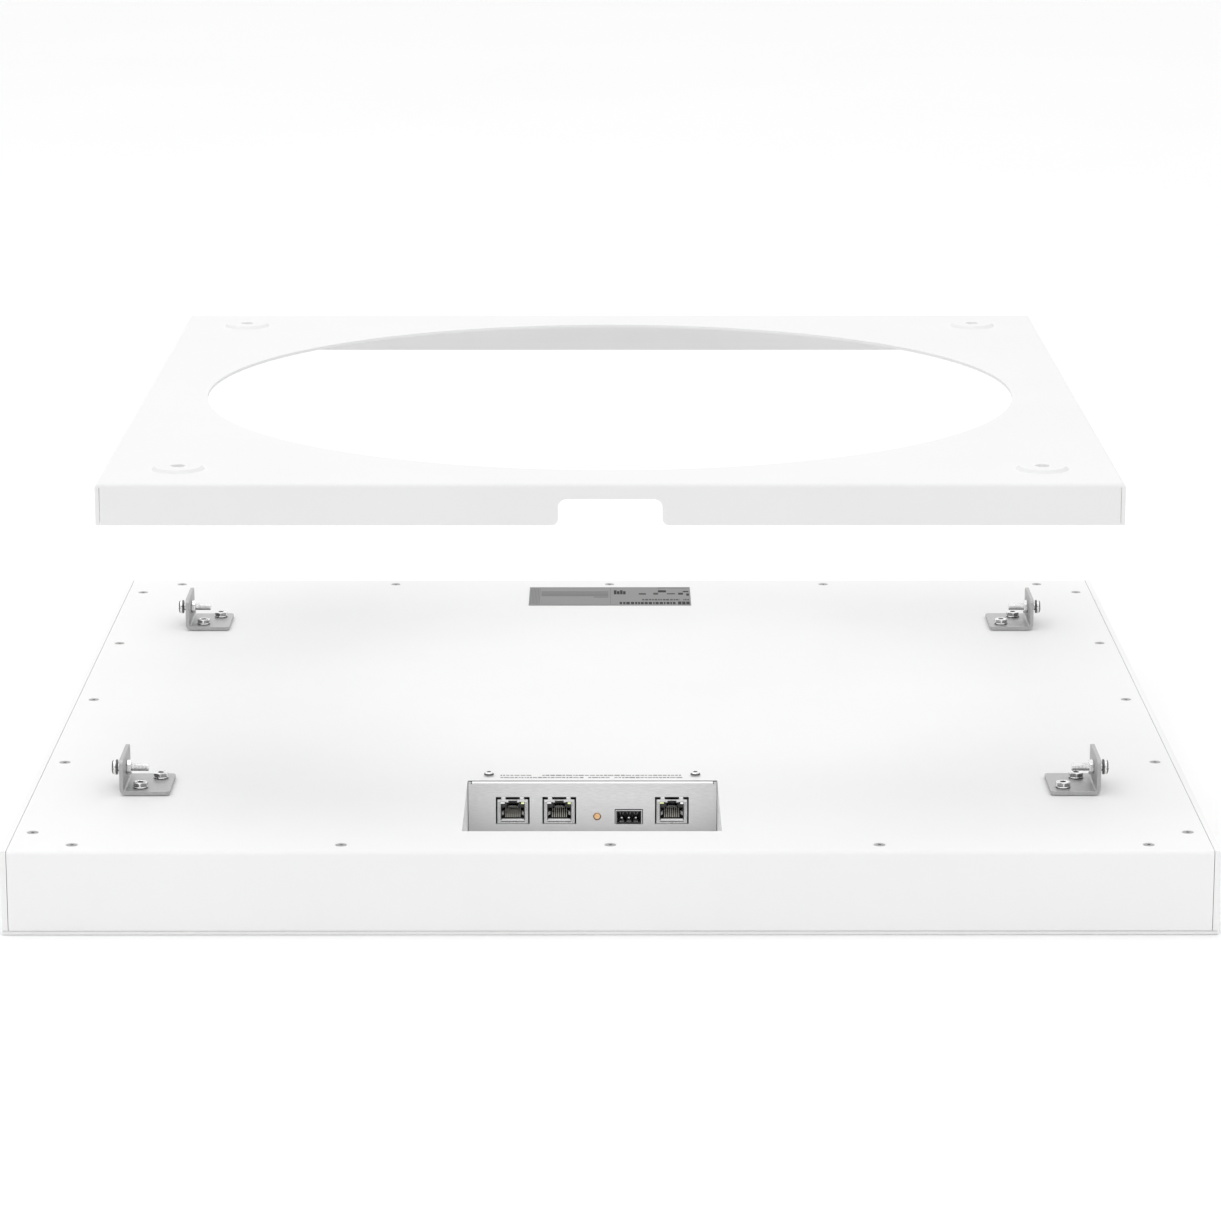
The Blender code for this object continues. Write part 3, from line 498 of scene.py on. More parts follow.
def piece(name, mesh, slot, body=TILE, nodes=(), place=None):
    """Put a mesh in the scene as a piece of the object."""
    made = bpy.data.objects.new(name, mesh)
    bpy.context.scene.collection.objects.link(made)
    if place is not None:
        made.matrix_world = place
    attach(made, body)
    if nodes:
        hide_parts(*nodes)


def built(name, shape, material, slot, **more):
    """A piece from a shape of its own."""
    piece(name, mesh_of(name, shape, material), slot, **more)


def refinish(node, material, bevel=0.0):
    """Give a CAD node a better material, and rounded edges if asked."""
    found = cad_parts[node]
    found.data.materials.clear()
    found.data.materials.append(material)
    if bevel:
        weld = found.modifiers.new("weld", "WELD")
        weld.merge_threshold = 0.001 * MM
        rounded = found.modifiers.new("rounded", "BEVEL")
        rounded.width = bevel
        rounded.segments = 2
        rounded.limit_method = "ANGLE"
        rounded.angle_limit = math.radians(40)
        rounded.harden_normals = True


# ================================================================ fasteners
def driver_recess(outer, height, depth):
    """Rings that lead from a head's top into a six-lobe recess."""
    lobes = 6
    shape = [outer * (0.86 + 0.14 * math.cos(lobes * 2 * math.pi * i / ROUND)) for i in range(ROUND)]
    return [
        [(r, height) for r in shape],
        [(r * 0.95, height - depth) for r in shape],
        even(outer * 0.15, height - depth * 1.15),
    ]


def countersunk_screw():
    """Flush screw with a driver recess and a plain shank; z = 0 is the cover's face."""
    profile = ((1.20, -6.0), (1.5, -5.6), (1.5, -1.35), (2.72, -0.20), (2.74, -0.12), (2.62, -0.06))
    return lofted(even_rings(profile) + driver_recess(1.05 * MM, -0.06 * MM, 0.5 * MM))


def pan_screw():
    """Pan-head screw with a driver recess; z = 0 is under its head."""
    profile = ((1.20, -6.0), (1.5, -5.6), (1.5, 0), (2.45, 0), (2.50, 0.25), (2.50, 0.85), (2.42, 1.20))
    profile += ((2.25, 1.45), (1.95, 1.65), (1.60, 1.76), (1.40, 1.79))
    return lofted(even_rings(profile) + driver_recess(1.25 * MM, 1.80 * MM, 0.9 * MM))


def thread_rings(low, high, count):
    """Rings of a screw thread from one height to another, fading out at both ends."""
    depth = THREAD_PITCH * 0.22
    steps = max(4, round((high - low) / THREAD_PITCH * 5))
    rings = []
    for step in range(steps + 1):
        height = low + (high - low) * step / steps
        fade = max(0.0, min(1.0, (height - low) / THREAD_PITCH, (high - height) / THREAD_PITCH))
        ring = []
        for i in range(count):
            phase = (height / THREAD_PITCH - i / count) % 1.0
            tooth = 1 - abs(2 * phase - 1)
            ring.append((THREAD_RADIUS - depth * (1 - tooth) * fade, height))
        rings.append(ring)
    return rings


def hexagon_ring(height, count, limit, cone, turn=0.0):
    """Ring of a hexagon with turned corners; past the limit radius it falls away at the cone's slope."""
    ring = []
    for i in range(count):
        off = (math.degrees(2 * math.pi * i / count) - turn) % 60.0 - 30.0
        radius = min(HEX_HALF / math.cos(math.radians(off)), HEX_CORNER)
        ring.append((radius, height - cone * max(0.0, radius - limit)))
    return ring


def hex_bolt():
    """Hexagon bolt with a chamfered, dished head on a loose washer; z = 0 is the washer's underside."""
    count = 120
    rings = even_rings([(1.6, -9.0)], count)
    rings += thread_rings(-8.7 * MM, -0.3 * MM, count)
    washer = ((2.0, 0.0), (3.72, 0.0), (3.8, 0.08), (3.8, 0.34), (3.72, 0.46), (3.52, 0.92), (3.10, 0.95))
    rings += even_rings(washer, count)
    rings += [even(3.10 * MM, WASHER_TOP, count)]
    rings += [hexagon_ring(WASHER_TOP, count, 3.30 * MM, -HEX_CHAMFER * 0.4, 30)]
    rings += [hexagon_ring(HEX_TOP, count, 3.20 * MM, HEX_CHAMFER, 30)]
    rings += even_rings([(3.15, 0), (1.70, 0), (1.55, -0.10), (1.45, -1.2), (0.6, -1.4)], count, HEX_TOP)
    return lofted(rings)


def hex_shade(centre, normal):
    """Faces of the hexagon bolt painted dark, as painted shade and painted dark reflection: its recess, the
    washer's rim and the gap above the washer.
    """
    radius = math.hypot(centre.x, centre.y)
    if centre.z < WASHER_TOP:
        return 0 < centre.z < 0.50 * MM or (centre.z > 0.9 * MM and radius < 3.2 * MM)
    return centre.z < HEX_TOP - 0.02 * MM and radius < 1.6 * MM


def hex_flats(centre, normal):
    """The six upright flats of the hexagon bolt, apart from their corners."""
    radius = math.hypot(centre.x, centre.y)
    upright = abs(normal.z) < 0.35 and WASHER_TOP < centre.z < HEX_TOP
    return upright and THREAD_RADIUS < radius < HEX_CORNER * 0.985


def slotted_screw():
    """Screw along X with a rounded slotted head; x = 0 is the bracket's outer face."""
    under = SIDE_HEAD_GAP
    rings = even_rings([(1.5, -13.2)])
    rings += thread_rings(-12.9 * MM, under - 0.3 * MM, ROUND)
    profile = ((2.0, 0), (3.70, 0), (3.85, 0.15), (3.88, 0.90), (3.86, 1.60), (3.76, 2.05), (3.50, 2.45))
    profile += ((3.10, 2.75), (2.40, 2.98), (1.20, 3.10))
    rings += even_rings(profile, base=under)
    slot = box((-0.5 * MM, -5 * MM, under + 1.8 * MM), (0.5 * MM, 5 * MM, under + 4.1 * MM))
    return moved(carved(lofted(rings), slot), Matrix.Rotation(-math.pi / 2, 4, "Y"))


def slotted_shade(centre, normal):
    """Faces of the slotted screw painted dark, as painted shade and painted dark reflection: the downward
    faces of its shank, a band round the head's foot, its shoulder and its slot.
    """
    out = -centre.x - SIDE_HEAD_GAP
    if out < -0.2 * MM:
        return normal.z < -0.55
    if out < 0.95 * MM or 2.1 * MM < out < 2.72 * MM:
        return True
    return abs(centre.z) < 0.6 * MM and abs(centre.y) < 3.8 * MM and (abs(normal.z) > 0.9 or out < 1.9 * MM)


def pan_shade(centre, normal):
    """Faces of the pan screw painted dark, as painted shade and painted dark reflection: the side of its
    head and its recess.
    """
    radius = math.hypot(centre.x, centre.y)
    side = 0.45 * MM < centre.z < 1.25 * MM and radius > 2.3 * MM
    return side or (radius < 1.2 * MM and 0.2 * MM < centre.z < 1.75 * MM)


def hex_nut():
    """Thin chamfered nut along X with a plain bore, on the inner side of its bracket's wall."""
    count = 72
    start = 2.05 * MM
    end = 4.45 * MM
    rings = even_rings([(2.35, 0), (3.3, 0)], count, start)
    rings += [hexagon_ring(start + 0.02 * MM, count, 3.35 * MM, -HEX_CHAMFER)]
    rings += [hexagon_ring(end - 0.02 * MM, count, 3.35 * MM, HEX_CHAMFER)]
    rings += even_rings([(3.3, 0), (2.35, 0), (2.1, -0.25)], count, end)
    rings += even_rings([(2.1, 0.25)], count, start)
    shape = bmesh.new()
    rows = ring_rows(shape, rings)
    skin(shape, rows + rows[:1])
    bmesh.ops.recalc_face_normals(shape, faces=shape.faces)
    return moved(shape, Matrix.Rotation(math.pi / 2, 4, "Y"))


def carved(base, cutter):
    """The base shape with the cutter taken out of it."""
    objects = []
    for label, shape in (("base", base), ("cutter", cutter)):
        mesh = bpy.data.meshes.new(label)
        shape.to_mesh(mesh)
        shape.free()
        made = bpy.data.objects.new(label, mesh)
        bpy.context.scene.collection.objects.link(made)
        objects.append(made)
    cut = objects[0].modifiers.new("cut", "BOOLEAN")
    cut.operation = "DIFFERENCE"
    cut.solver = "EXACT"
    cut.object = objects[1]
    bpy.context.view_layer.update()
    result = bmesh.new()
    evaluated = objects[0].evaluated_get(bpy.context.evaluated_depsgraph_get())
    mesh = bpy.data.meshes.new_from_object(evaluated)
    result.from_mesh(mesh)
    bpy.data.meshes.remove(mesh)
    for made in objects:
        used = made.data
        bpy.data.objects.remove(made)
        bpy.data.meshes.remove(used)
    return result


def node_middle(node):
    """Centre of a CAD node's box."""
    low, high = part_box(node)
    return (low + high) / 2


def place_fasteners(finish):
    """Detailed screws and nuts in the places of the CAD ones."""
    cover = mesh_of("cover_screw", countersunk_screw(), finish["grey_steel"])
    pan = mesh_of("pan_screw", pan_screw(), finish["steel"])
    # painted shade and painted dark reflection on the pan screw's head side and recess
    painted_shade_faces(pan, finish["painted_shade_steel"], pan_shade)
    bolt = mesh_of("hex_bolt", hex_bolt(), finish["steel"])
    # painted shade and painted dark reflection on the bolt's recess, washer rim and the gap above the washer
    painted_shade_faces(bolt, finish["painted_shade_steel"], hex_shade)
    # painted dark reflection: the bolt's flats in a dimmer steel
    painted_shade_faces(bolt, finish["painted_reflection_flat_steel"], hex_flats)
    side = mesh_of("slotted_screw", slotted_screw(), finish["steel"])
    # painted shade and painted dark reflection on the slotted screw's shank, head bands and slot
    painted_shade_faces(side, finish["painted_shade_steel"], slotted_shade)
    nut = mesh_of("thin_nut", hex_nut(), finish["steel"])
    for number in range(1, 21):
        node = "perimeter_screw_%02d" % number
        at = node_middle(node)
        # each recess is left at an angle of its own
        turn = Matrix.Rotation(number * 1.7, 4, "Z")
        where = Matrix.Translation((at.x, at.y, REAR)) @ turn
        piece("cover_screw_%02d" % number, cover, "screw_grey", nodes=[node], place=where)
    for label in ("left", "right"):
        node = "plate_screw_" + label
        at = node_middle(node)
        where = Matrix.Translation((at.x, at.y, REAR + PAN_SEAT))
        piece("pan_screw_" + label, pan, "screw_steel", nodes=[node], place=where)
    for number in range(1, 9):
        node = "hex_screw_%d" % number
        at = node_middle(node)
        where = Matrix.Translation((at.x, at.y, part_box(node)[1].z - HEX_TOP))
        piece("hex_bolt_%d" % number, bolt, "screw_steel", nodes=[node], place=where)
    for number in range(1, 5):
        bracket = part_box("bracket_%d" % number)
        screw = node_middle("side_screw_%d" % number)
        left = screw.x < 0
        wall = bracket[0].x if left else bracket[1].x
        turn = Matrix.Rotation(0.0 if left else math.pi, 4, "Z")
        where = Matrix.Translation((wall, screw.y, screw.z)) @ turn
        for name, mesh, node in (("slotted_screw", side, "side_screw"), ("thin_nut", nut, "side_nut")):
            nodes = ["%s_%d" % (node, number)]
            piece("%s_%d" % (name, number), mesh, "screw_steel", nodes=nodes, place=where)


# ================================================================ connectors
def jack_liner(floor, roof, brow):
    """Black lining of the plug socket: floor, back, steps, latch channel, contact ramp and front bezel."""
    depth = (0.4 * MM, 13.3 * MM)
    liner = [
        box((-5.6 * MM, depth[0], floor), (5.6 * MM, depth[1], floor + 0.4 * MM)),
        box((-5.6 * MM, 11.9 * MM, floor + 0.4 * MM), (5.6 * MM, depth[1], roof)),
        box((-2.9 * MM, depth[0], roof + 1.9 * MM), (2.9 * MM, depth[1], roof + 2.2 * MM)),
        box((-6.1 * MM, -0.05 * MM, floor - 0.95 * MM), (6.1 * MM, 0.2 * MM, floor - 0.62 * MM)),
    ]
    bezel = (-0.06 * MM, 0.4 * MM)
    walls = (
        (5.6, 6.0, depth, floor, roof),
        (3.3, 6.0, depth, roof - 0.5 * MM, roof),
        (2.9, 3.3, depth, roof, roof + 2.2 * MM),
        (3.3, 6.15, bezel, roof, brow),
        (6.0, 6.15, bezel, floor, roof),
    )
    for side in (-1, 1):
        for near, far, (front, back), bottom, top in walls:
            start, end = sorted((side * near * MM, side * far * MM))
            liner.append(box((start, front, bottom), (end, back, top)))
    ramp = in_mm([(3.4, 0.4), (4.6, 1.7), (8.0, 4.3), (9.6, 4.6), (11.9, 4.4), (11.9, 0.4)], floor)
    liner.append(prism(ramp, -4.5 * MM, 4.5 * MM))
    return joined(liner)


def jack_contacts(floor):
    """Eight spring wires that rise along the ramp and end in the comb."""
    path = in_mm([(2.6, 0.75), (4.1, 1.95), (7.5, 4.55), (8.3, 4.9), (11.4, 5.0)], floor)
    wires = []
    for wire in range(8):
        x = (wire - 3.5) * 1.02 * MM
        wires.append(strip(path, 0.30 * MM, x - 0.25 * MM, x + 0.25 * MM))
    return joined(wires)


def jack_springs(floor, brow, top):
    """Bright shield parts: grounding tabs, side springs, the strips over the socket and its lower lip."""
    tab = in_mm([(0.15, -0.2), (-0.06, 0.2), (-0.02, 0.65), (0.35, 1.0), (1.4, 1.1), (3.0, 0.25)], top)
    spring = in_mm([(5.55, 0.6), (4.7, 2.4), (4.6, 3.6), (5.5, 5.4)])
    lip = in_mm([(0.0, -0.35), (-0.12, -0.05), (0.2, 0.25), (1.2, 0.45)], floor)
    metal = []
    for side in (-1, 1):
        metal.append(strip(tab, 0.22 * MM, side * 4.7 * MM - 1.05 * MM, side * 4.7 * MM + 1.05 * MM))
        bent = strip(spring, 0.18 * MM, floor + 2.3 * MM, floor + 4.1 * MM)
        upright = Matrix(((0, side, 0, 0), (0, 0, 1, 0), (1, 0, 0, 0), (0, 0, 0, 1)))
        metal.append(moved(bent, upright))
        start, end = sorted((side * 2.4 * MM, side * 7.5 * MM))
        metal.append(soft_box((start, -0.10 * MM, brow), (end, 0.3 * MM, top - 0.05 * MM), 0.08 * MM))
    metal.append(strip(lip, 0.2 * MM, -5.7 * MM, 5.7 * MM))
    shape = joined(metal)
    bmesh.ops.recalc_face_normals(shape, faces=shape.faces)
    return shape


def jack_details(number, finish):
    """Plug socket lining, contacts, springs and light windows of one jack."""
    low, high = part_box("network_jack_%d" % number)
    floor = low.z + 1.9 * MM
    roof = floor + 6.9 * MM
    brow = high.z - 1.25 * MM
    at = Matrix.Translation(((low.x + high.x) / 2, low.y, 0))
    name = "jack_%d_" % number
    built(name + "liner", jack_liner(floor, roof, brow), finish["black"], "black_plastic", place=at)
    comb = in_mm([(-2.5, 4.0), (-2.3, 4.9), (-1.6, 5.4), (1.6, 5.4), (2.3, 4.9), (2.5, 4.0)], floor)
    comb = prism(comb, 7.9 * MM, 9.4 * MM, "Y")
    built(name + "comb", comb, finish["pale_plastic"], "black_plastic", place=at)
    built(name + "contacts", jack_contacts(floor), finish["gold"], "jack_shield", place=at)
    springs = jack_springs(floor, brow, high.z)
    built(name + "springs", springs, finish["bright_tin"], "jack_shield", place=at)
    tints = ("white_window", "lime_window") if number < 3 else ("lime_window", "white_window")
    top = brow - 0.20 * MM
    windows = (("left", -1, tints[0], 1.05, 0.75), ("right", 1, tints[1], 0.80, 0.95))
    for label, side, tint, half, tall in windows:
        x = side * 5.1 * MM
        corners = ((x - half * MM, -0.16 * MM, top - tall * MM), (x + half * MM, 0.5 * MM, top))
        window = soft_box(*corners, 0.10 * MM)
        built(name + "window_" + label, window, finish[tint], "light_pipe", place=at)


def plate_trim(finish):
    """Turned-up lip of the plate's fold, a black strip over it that stands in for the shadow gap under the
    cover's edge (painted shadow), the ears' tips and the foot of each slit.
    """
    low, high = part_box("connector_plate")
    face = low.y
    tip = REAR - 0.4 * MM
    slit = 0.5 * MM
    left = low.x + 1.4 * MM
    right = high.x - 1.4 * MM
    path = [(face + 0.16 * MM, tip - 2.6 * MM), (face + 0.14 * MM, tip - 0.80 * MM)]
    path += [(face + 0.40 * MM, tip - 0.42 * MM), (face + 0.75 * MM, tip)]
    lip = strip(path, 0.22 * MM, left + slit, right - slit)
    built("fold_lip", lip, finish["aluminium"], "plate_aluminium")
    # painted shadow: a black strip in front of the cover's edge stands in for the shadow gap above the fold
    shadow_strip = box((low.x, face + 0.80 * MM, tip - 0.3 * MM), (high.x, face + 0.98 * MM, REAR - 0.05 * MM))
    built("fold_shadow_strip", shadow_strip, finish["black"], "black_plastic")
    tips = []
    for start, end in ((low.x, left), (right, high.x)):
        tips.append(box((start, face + 0.03 * MM, tip - 1.75 * MM), (end, face + 0.75 * MM, tip)))
    for start in (left, right - slit):
        inner = (start, face + 0.15 * MM, tip - 3.2 * MM)
        outer = (start + slit, face + 0.9 * MM, tip - 1.2 * MM)
        tips.append(box(inner, outer))
    built("ear_tips", joined(tips), finish["aluminium"], "plate_aluminium")


def header_ring(half, bottom, top, near, far, front, back):
    """A three-sided band round the header's front, between two offsets and two depths in millimetres."""
    foot = bottom - 0.15 * MM
    outline = []
    for offset, sides in ((far * MM, (-1, 1)), (near * MM, (1, -1))):
        start, end = (side * (half + offset) for side in sides)
        outline += [(start, foot), (start, top + offset), (end, top + offset), (end, foot)]
    return prism(outline, front * MM, back * MM, "Y")


def header_details(finish):
    """Rim, coding ribs and pins of the terminal header."""
    low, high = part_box("terminal_header")
    at = Matrix.Translation(((low.x + high.x) / 2, low.y, 0))
    half = (high.x - low.x) / 2
    rim = header_ring(half, low.z, high.z, 0.03, 0.34, 0.02, 0.5)
    built("header_rim", rim, finish["bright_tin"], "jack_shield", place=at)
    shadow = header_ring(half, low.z, high.z, 0.40, 1.60, 1.80, 2.4)
    built("header_shadow", shadow, finish["black"], "black_plastic", place=at)

    pins = []
    ribs = []
    roof = high.z - 0.6 * MM
    for pole in (-1, 0, 1):
        x = pole * 3.6 * MM
        z = low.z + 2.7 * MM
        corners = ((x - 0.45 * MM, 1.3 * MM, z - 0.40 * MM), (x + 0.45 * MM, 8.2 * MM, z + 0.40 * MM))
        pins.append(soft_box(*corners, 0.15 * MM))
        key = in_mm([(-1.35, 0.1), (-0.65, -1.2), (-0.35, -1.2), (-0.95, 0.1)], roof)
        for side in (1, -1):
            ribs.append(prism([(x + side * u, v) for u, v in key], 0.25 * MM, 7.5 * MM, "Y"))
        sill = in_mm([(-1.3, 0.5), (1.3, 0.5), (0.8, 1.25), (-0.8, 1.25)], low.z)
        ribs.append(prism([(x + u, v) for u, v in sill], 0.5 * MM, 7.5 * MM, "Y"))
    built("header_pins", joined(pins), finish["steel"], "screw_steel", place=at)
    built("header_ribs", joined(ribs), finish["dark_grey"], "black_plastic", place=at)


def button_cap(finish):
    """Smooth domed reset button."""
    low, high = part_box("reset_button")
    centre = (low + high) / 2
    radius = (high.x - low.x) / 2
    flat = 0.35 * radius
    crown = 0.65 * MM
    steps = 8
    profile = [(radius, low.y - high.y)]
    for step in range(steps + 1):
        angle = math.pi / 2 * step / steps
        profile.append((flat + (radius - flat) * math.cos(angle), crown * (math.sin(angle) - 1)))
    shape = lofted([even(r, z, 64) for r, z in profile])
    shape = moved(shape, Matrix.Rotation(math.pi / 2, 4, "X"))
    at = Matrix.Translation((centre.x, low.y, centre.z))
    nodes = ["reset_button"]
    built("button_cap", shape, finish["orange"], "orange_plastic", body=BUTTON_BODY, nodes=nodes, place=at)


# ================================================================ printing and small marks
def ink_blocks(name, blocks, height, material, slot):
    """Thin printed blocks on a flat face, from (left, front, right, back) corners."""
    shapes = [box((a, b, height), (c, d, height + INK_THICKNESS)) for a, b, c, d in blocks]
    built(name, joined(shapes), material, slot)


def legend(finish):
    """Two rows of generic blocks behind the connectors, in place of the printed legend."""
    draw = random.Random(7)
    rows = (-160.2, -156.0)
    left, right = -56.0, 37.0
    share_inked = 0.93
    blocks = []
    for row in rows:
        x = left
        while x < right:
            width = draw.uniform(0.8, 3.2)
            depth = draw.choice((1.3, 1.6, 1.9))
            if draw.random() < share_inked:
                blocks.append((x * MM, (row - depth / 2) * MM, (x + width) * MM, (row + depth / 2) * MM))
            x += width + draw.uniform(0.30, 0.55)
    ink_blocks("legend_blocks", blocks, REAR + 0.01 * MM, finish["pale_ink"], "label_grey")


def label_marks(finish):
    """Generic bars and squares on the type label, placed by fractions of its width and depth."""
    low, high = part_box("type_label")
    size = high - low
    draw = random.Random(11)

    def bar(left, right, front, back):
        return (low.x + left * size.x, low.y + front * size.y, low.x + right * size.x, low.y + back * size.y)

    def bars(places):
        return [bar(*place) for place in places]

    def dashes(start, end, front, back, width, gap):
        made = []
        while start < end:
            step = draw.uniform(0.6, 1.4) * width
            made.append(bar(start, min(start + step, end), front, back))
            start += step + draw.uniform(0.7, 1.3) * gap
        return made

    faint = [bar(0.008 + 0.009 * i, 0.012 + 0.009 * i, 0.06, 0.94) for i in range(7)]
    faint += bars(((0.075, 0.49, 0.50, 0.66), (0.075, 0.49, 0.70, 0.76), (0.40, 0.49, 0.42, 0.47)))
    faint += bars(((0.502, 0.505, 0.05, 0.95),))
    dark = [bar(0.525 + 0.019 * i, 0.541 + 0.019 * i, 0.60, 0.82 - 0.05 * (i % 2)) for i in range(4)]
    dark += bars(((0.800, 0.850, 0.71, 0.82), (0.925, 0.955, 0.58, 0.68), (0.955, 0.990, 0.72, 0.78)))
    dark += bars(((0.975, 0.992, 0.52, 0.64),))
    middle = bars(((0.680, 0.724, 0.58, 0.66), (0.770, 0.800, 0.58, 0.68), (0.855, 0.905, 0.60, 0.66)))
    middle += bars(((0.800, 0.995, 0.95, 0.965),))
    middle += dashes(0.70, 0.93, 0.26, 0.33, 0.014, 0.005)
    middle += dashes(0.955, 0.99, 0.26, 0.33, 0.010, 0.004)
    dark += dashes(0.56, 0.905, 0.05, 0.17, 0.015, 0.006)
    dark += dashes(0.920, 0.992, 0.04, 0.19, 0.030, 0.006)
    inks = (("faint", faint, "faint_ink"), ("middle", middle, "mid_ink"), ("dark", dark, "dark_ink"))
    for name, blocks, ink in inks:
        ink_blocks("label_" + name, blocks, high.z + 0.005 * MM, finish[ink], "label_grey")


def stud_marks(finish):
    """Heads of two pressed studs, nearly flush with the rear cover."""
    across, forward = 208 * MM, -212 * MM
    profile = ((1.75, 0.005), (1.70, 0.05), (1.30, 0.06), (1.22, 0.02), (0.60, 0.02), (0.2, 0.03))
    for label, side in (("left", -1), ("right", 1)):
        at = Matrix.Translation((side * across, forward, REAR))
        shape = lofted(even_rings(profile, 32))
        built("stud_mark_" + label, shape, finish["cover"], "cover_white", place=at)


# ================================================================ room side
def cell_centres(high, light, pitch, margin):
    """Centres of the honeycomb's cells by quarter of the sheet, with one cell at the status light."""
    row_step = pitch * math.sqrt(3) / 2
    columns = math.floor((high.x - margin) / pitch)
    rows = math.floor((high.y - margin - pitch) / row_step)
    reach_x = high.x - margin - pitch / 2
    reach_y = high.y - margin - pitch / 2
    quarters = {}
    for row in range(-rows - 1, rows + 1):
        y = row * row_step + light.y % row_step
        for column in range(-columns, columns + 1):
            x = (column + 0.5 * (row % 2)) * pitch
            if abs(x) <= reach_x and abs(y) <= reach_y:
                quarters.setdefault((x >= 0, y >= 0), []).append((x, y))
    return [quarters[key] for key in sorted(quarters)]


def add_cell(verts, faces, x, y, reach, bore, sheet):
    """One hexagonal cell of sheet with a round hole: its two faces and the hole's wall."""
    corners = 6
    points = 2 * corners
    level = corners + points
    start = len(verts)
    for z in (0.0, sheet):
        for count, radius in ((corners, reach), (points, bore)):
            for i in range(count):
                angle = math.radians(30) + 2 * math.pi * i / count
                verts.append((x + radius * math.cos(angle), y + radius * math.sin(angle), z))
    for base, flip in ((start, True), (start + level, False)):
        for i in range(corners):
            a = base + i
            b = base + (i + 1) % corners
            p, q, r = (base + corners + (2 * i + step) % points for step in range(3))
            for face in ((a, b, q), (a, q, p), (b, r, q)):
                faces.append(face[::-1] if flip else face)
    near = start + corners
    far = near + level
    for i in range(points):
        j = (i + 1) % points
        faces.append((near + i, near + j, far + j, far + i))


def grille_cells(finish):
    """Perforated sheet in four quarters, drawn as a honeycomb of cells with round holes."""
    sheet = 1.0 * MM
    pitch = 6.0 * MM
    hole = 1.7 * MM
    light_hole = 2.3 * MM
    margin = 7.0 * MM
    light = node_middle("status_light").xy
    quarters = cell_centres(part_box("grille")[1], light, pitch, margin)
    for number, cells in enumerate(quarters, 1):
        verts = []
        faces = []
        for x, y in cells:
            near_light = (Vector((x, y)) - light).length < pitch * 0.4
            add_cell(verts, faces, x, y, pitch / math.sqrt(3), light_hole if near_light else hole, sheet)
        mesh = bpy.data.meshes.new("grille_field")
        mesh.from_pydata(verts, [], faces)
        shape = bmesh.new()
        shape.from_mesh(mesh)
        bpy.data.meshes.remove(mesh)
        bmesh.ops.remove_doubles(shape, verts=shape.verts, dist=0.02 * MM)
        built("grille_field_%d" % number, shape, finish["grille"], "grille_white", nodes=["grille"])


def grille_rim(finish):
    """Plain border and folded edge round the perforated field, with a chamfer along the seam."""
    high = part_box("grille")[1]
    outside = high.x
    inside = outside - 11.0 * MM
    fold = outside - 1.5 * MM
    chamfer = 0.7 * MM
    profile = [(inside, 0.05 * MM), (inside, 1.05 * MM), (fold, 1.05 * MM), (fold, high.z)]
    profile += [(outside - chamfer, high.z), (outside, high.z - chamfer), (outside, 0.6 * MM)]
    profile += [(outside - 0.18 * MM, 0.18 * MM), (outside - 0.6 * MM, 0.0)]
    shape = bmesh.new()
    rows = []
    for sx, sy in ((1, 1), (-1, 1), (-1, -1), (1, -1)):
        rows.append([shape.verts.new((sx * r, sy * r, z)) for r, z in profile])
    skin(shape, rows + rows[:1])
    bmesh.ops.recalc_face_normals(shape, faces=shape.faces)
    built("grille_rim", shape, finish["grille"], "grille_white", nodes=["grille"])


# ================================================================ the carried-over parts
def finish_cad(finish):
    """Materials for the CAD nodes that stay as they are."""
    kept = {
        "cover": ["rear_cover", "chassis", "connector_pocket"],
        "frame": ["mounting_frame"],
        "cloth": ["acoustic_cloth"],
        "white_window": ["status_light"],
        "label": ["type_label"],
        "aluminium": ["connector_plate"],
        "black": ["terminal_header", "reset_switch"],
        "board": ["array_board", "main_board", "io_board"],
        "shield": ["network_jack_1", "network_jack_2", "network_jack_3"],
    }
    for name, nodes in kept.items():
        for node in nodes:
            refinish(node, finish[name])
    for number in range(1, 5):
        refinish("bracket_%d" % number, finish["zinc"], 0.2 * MM)


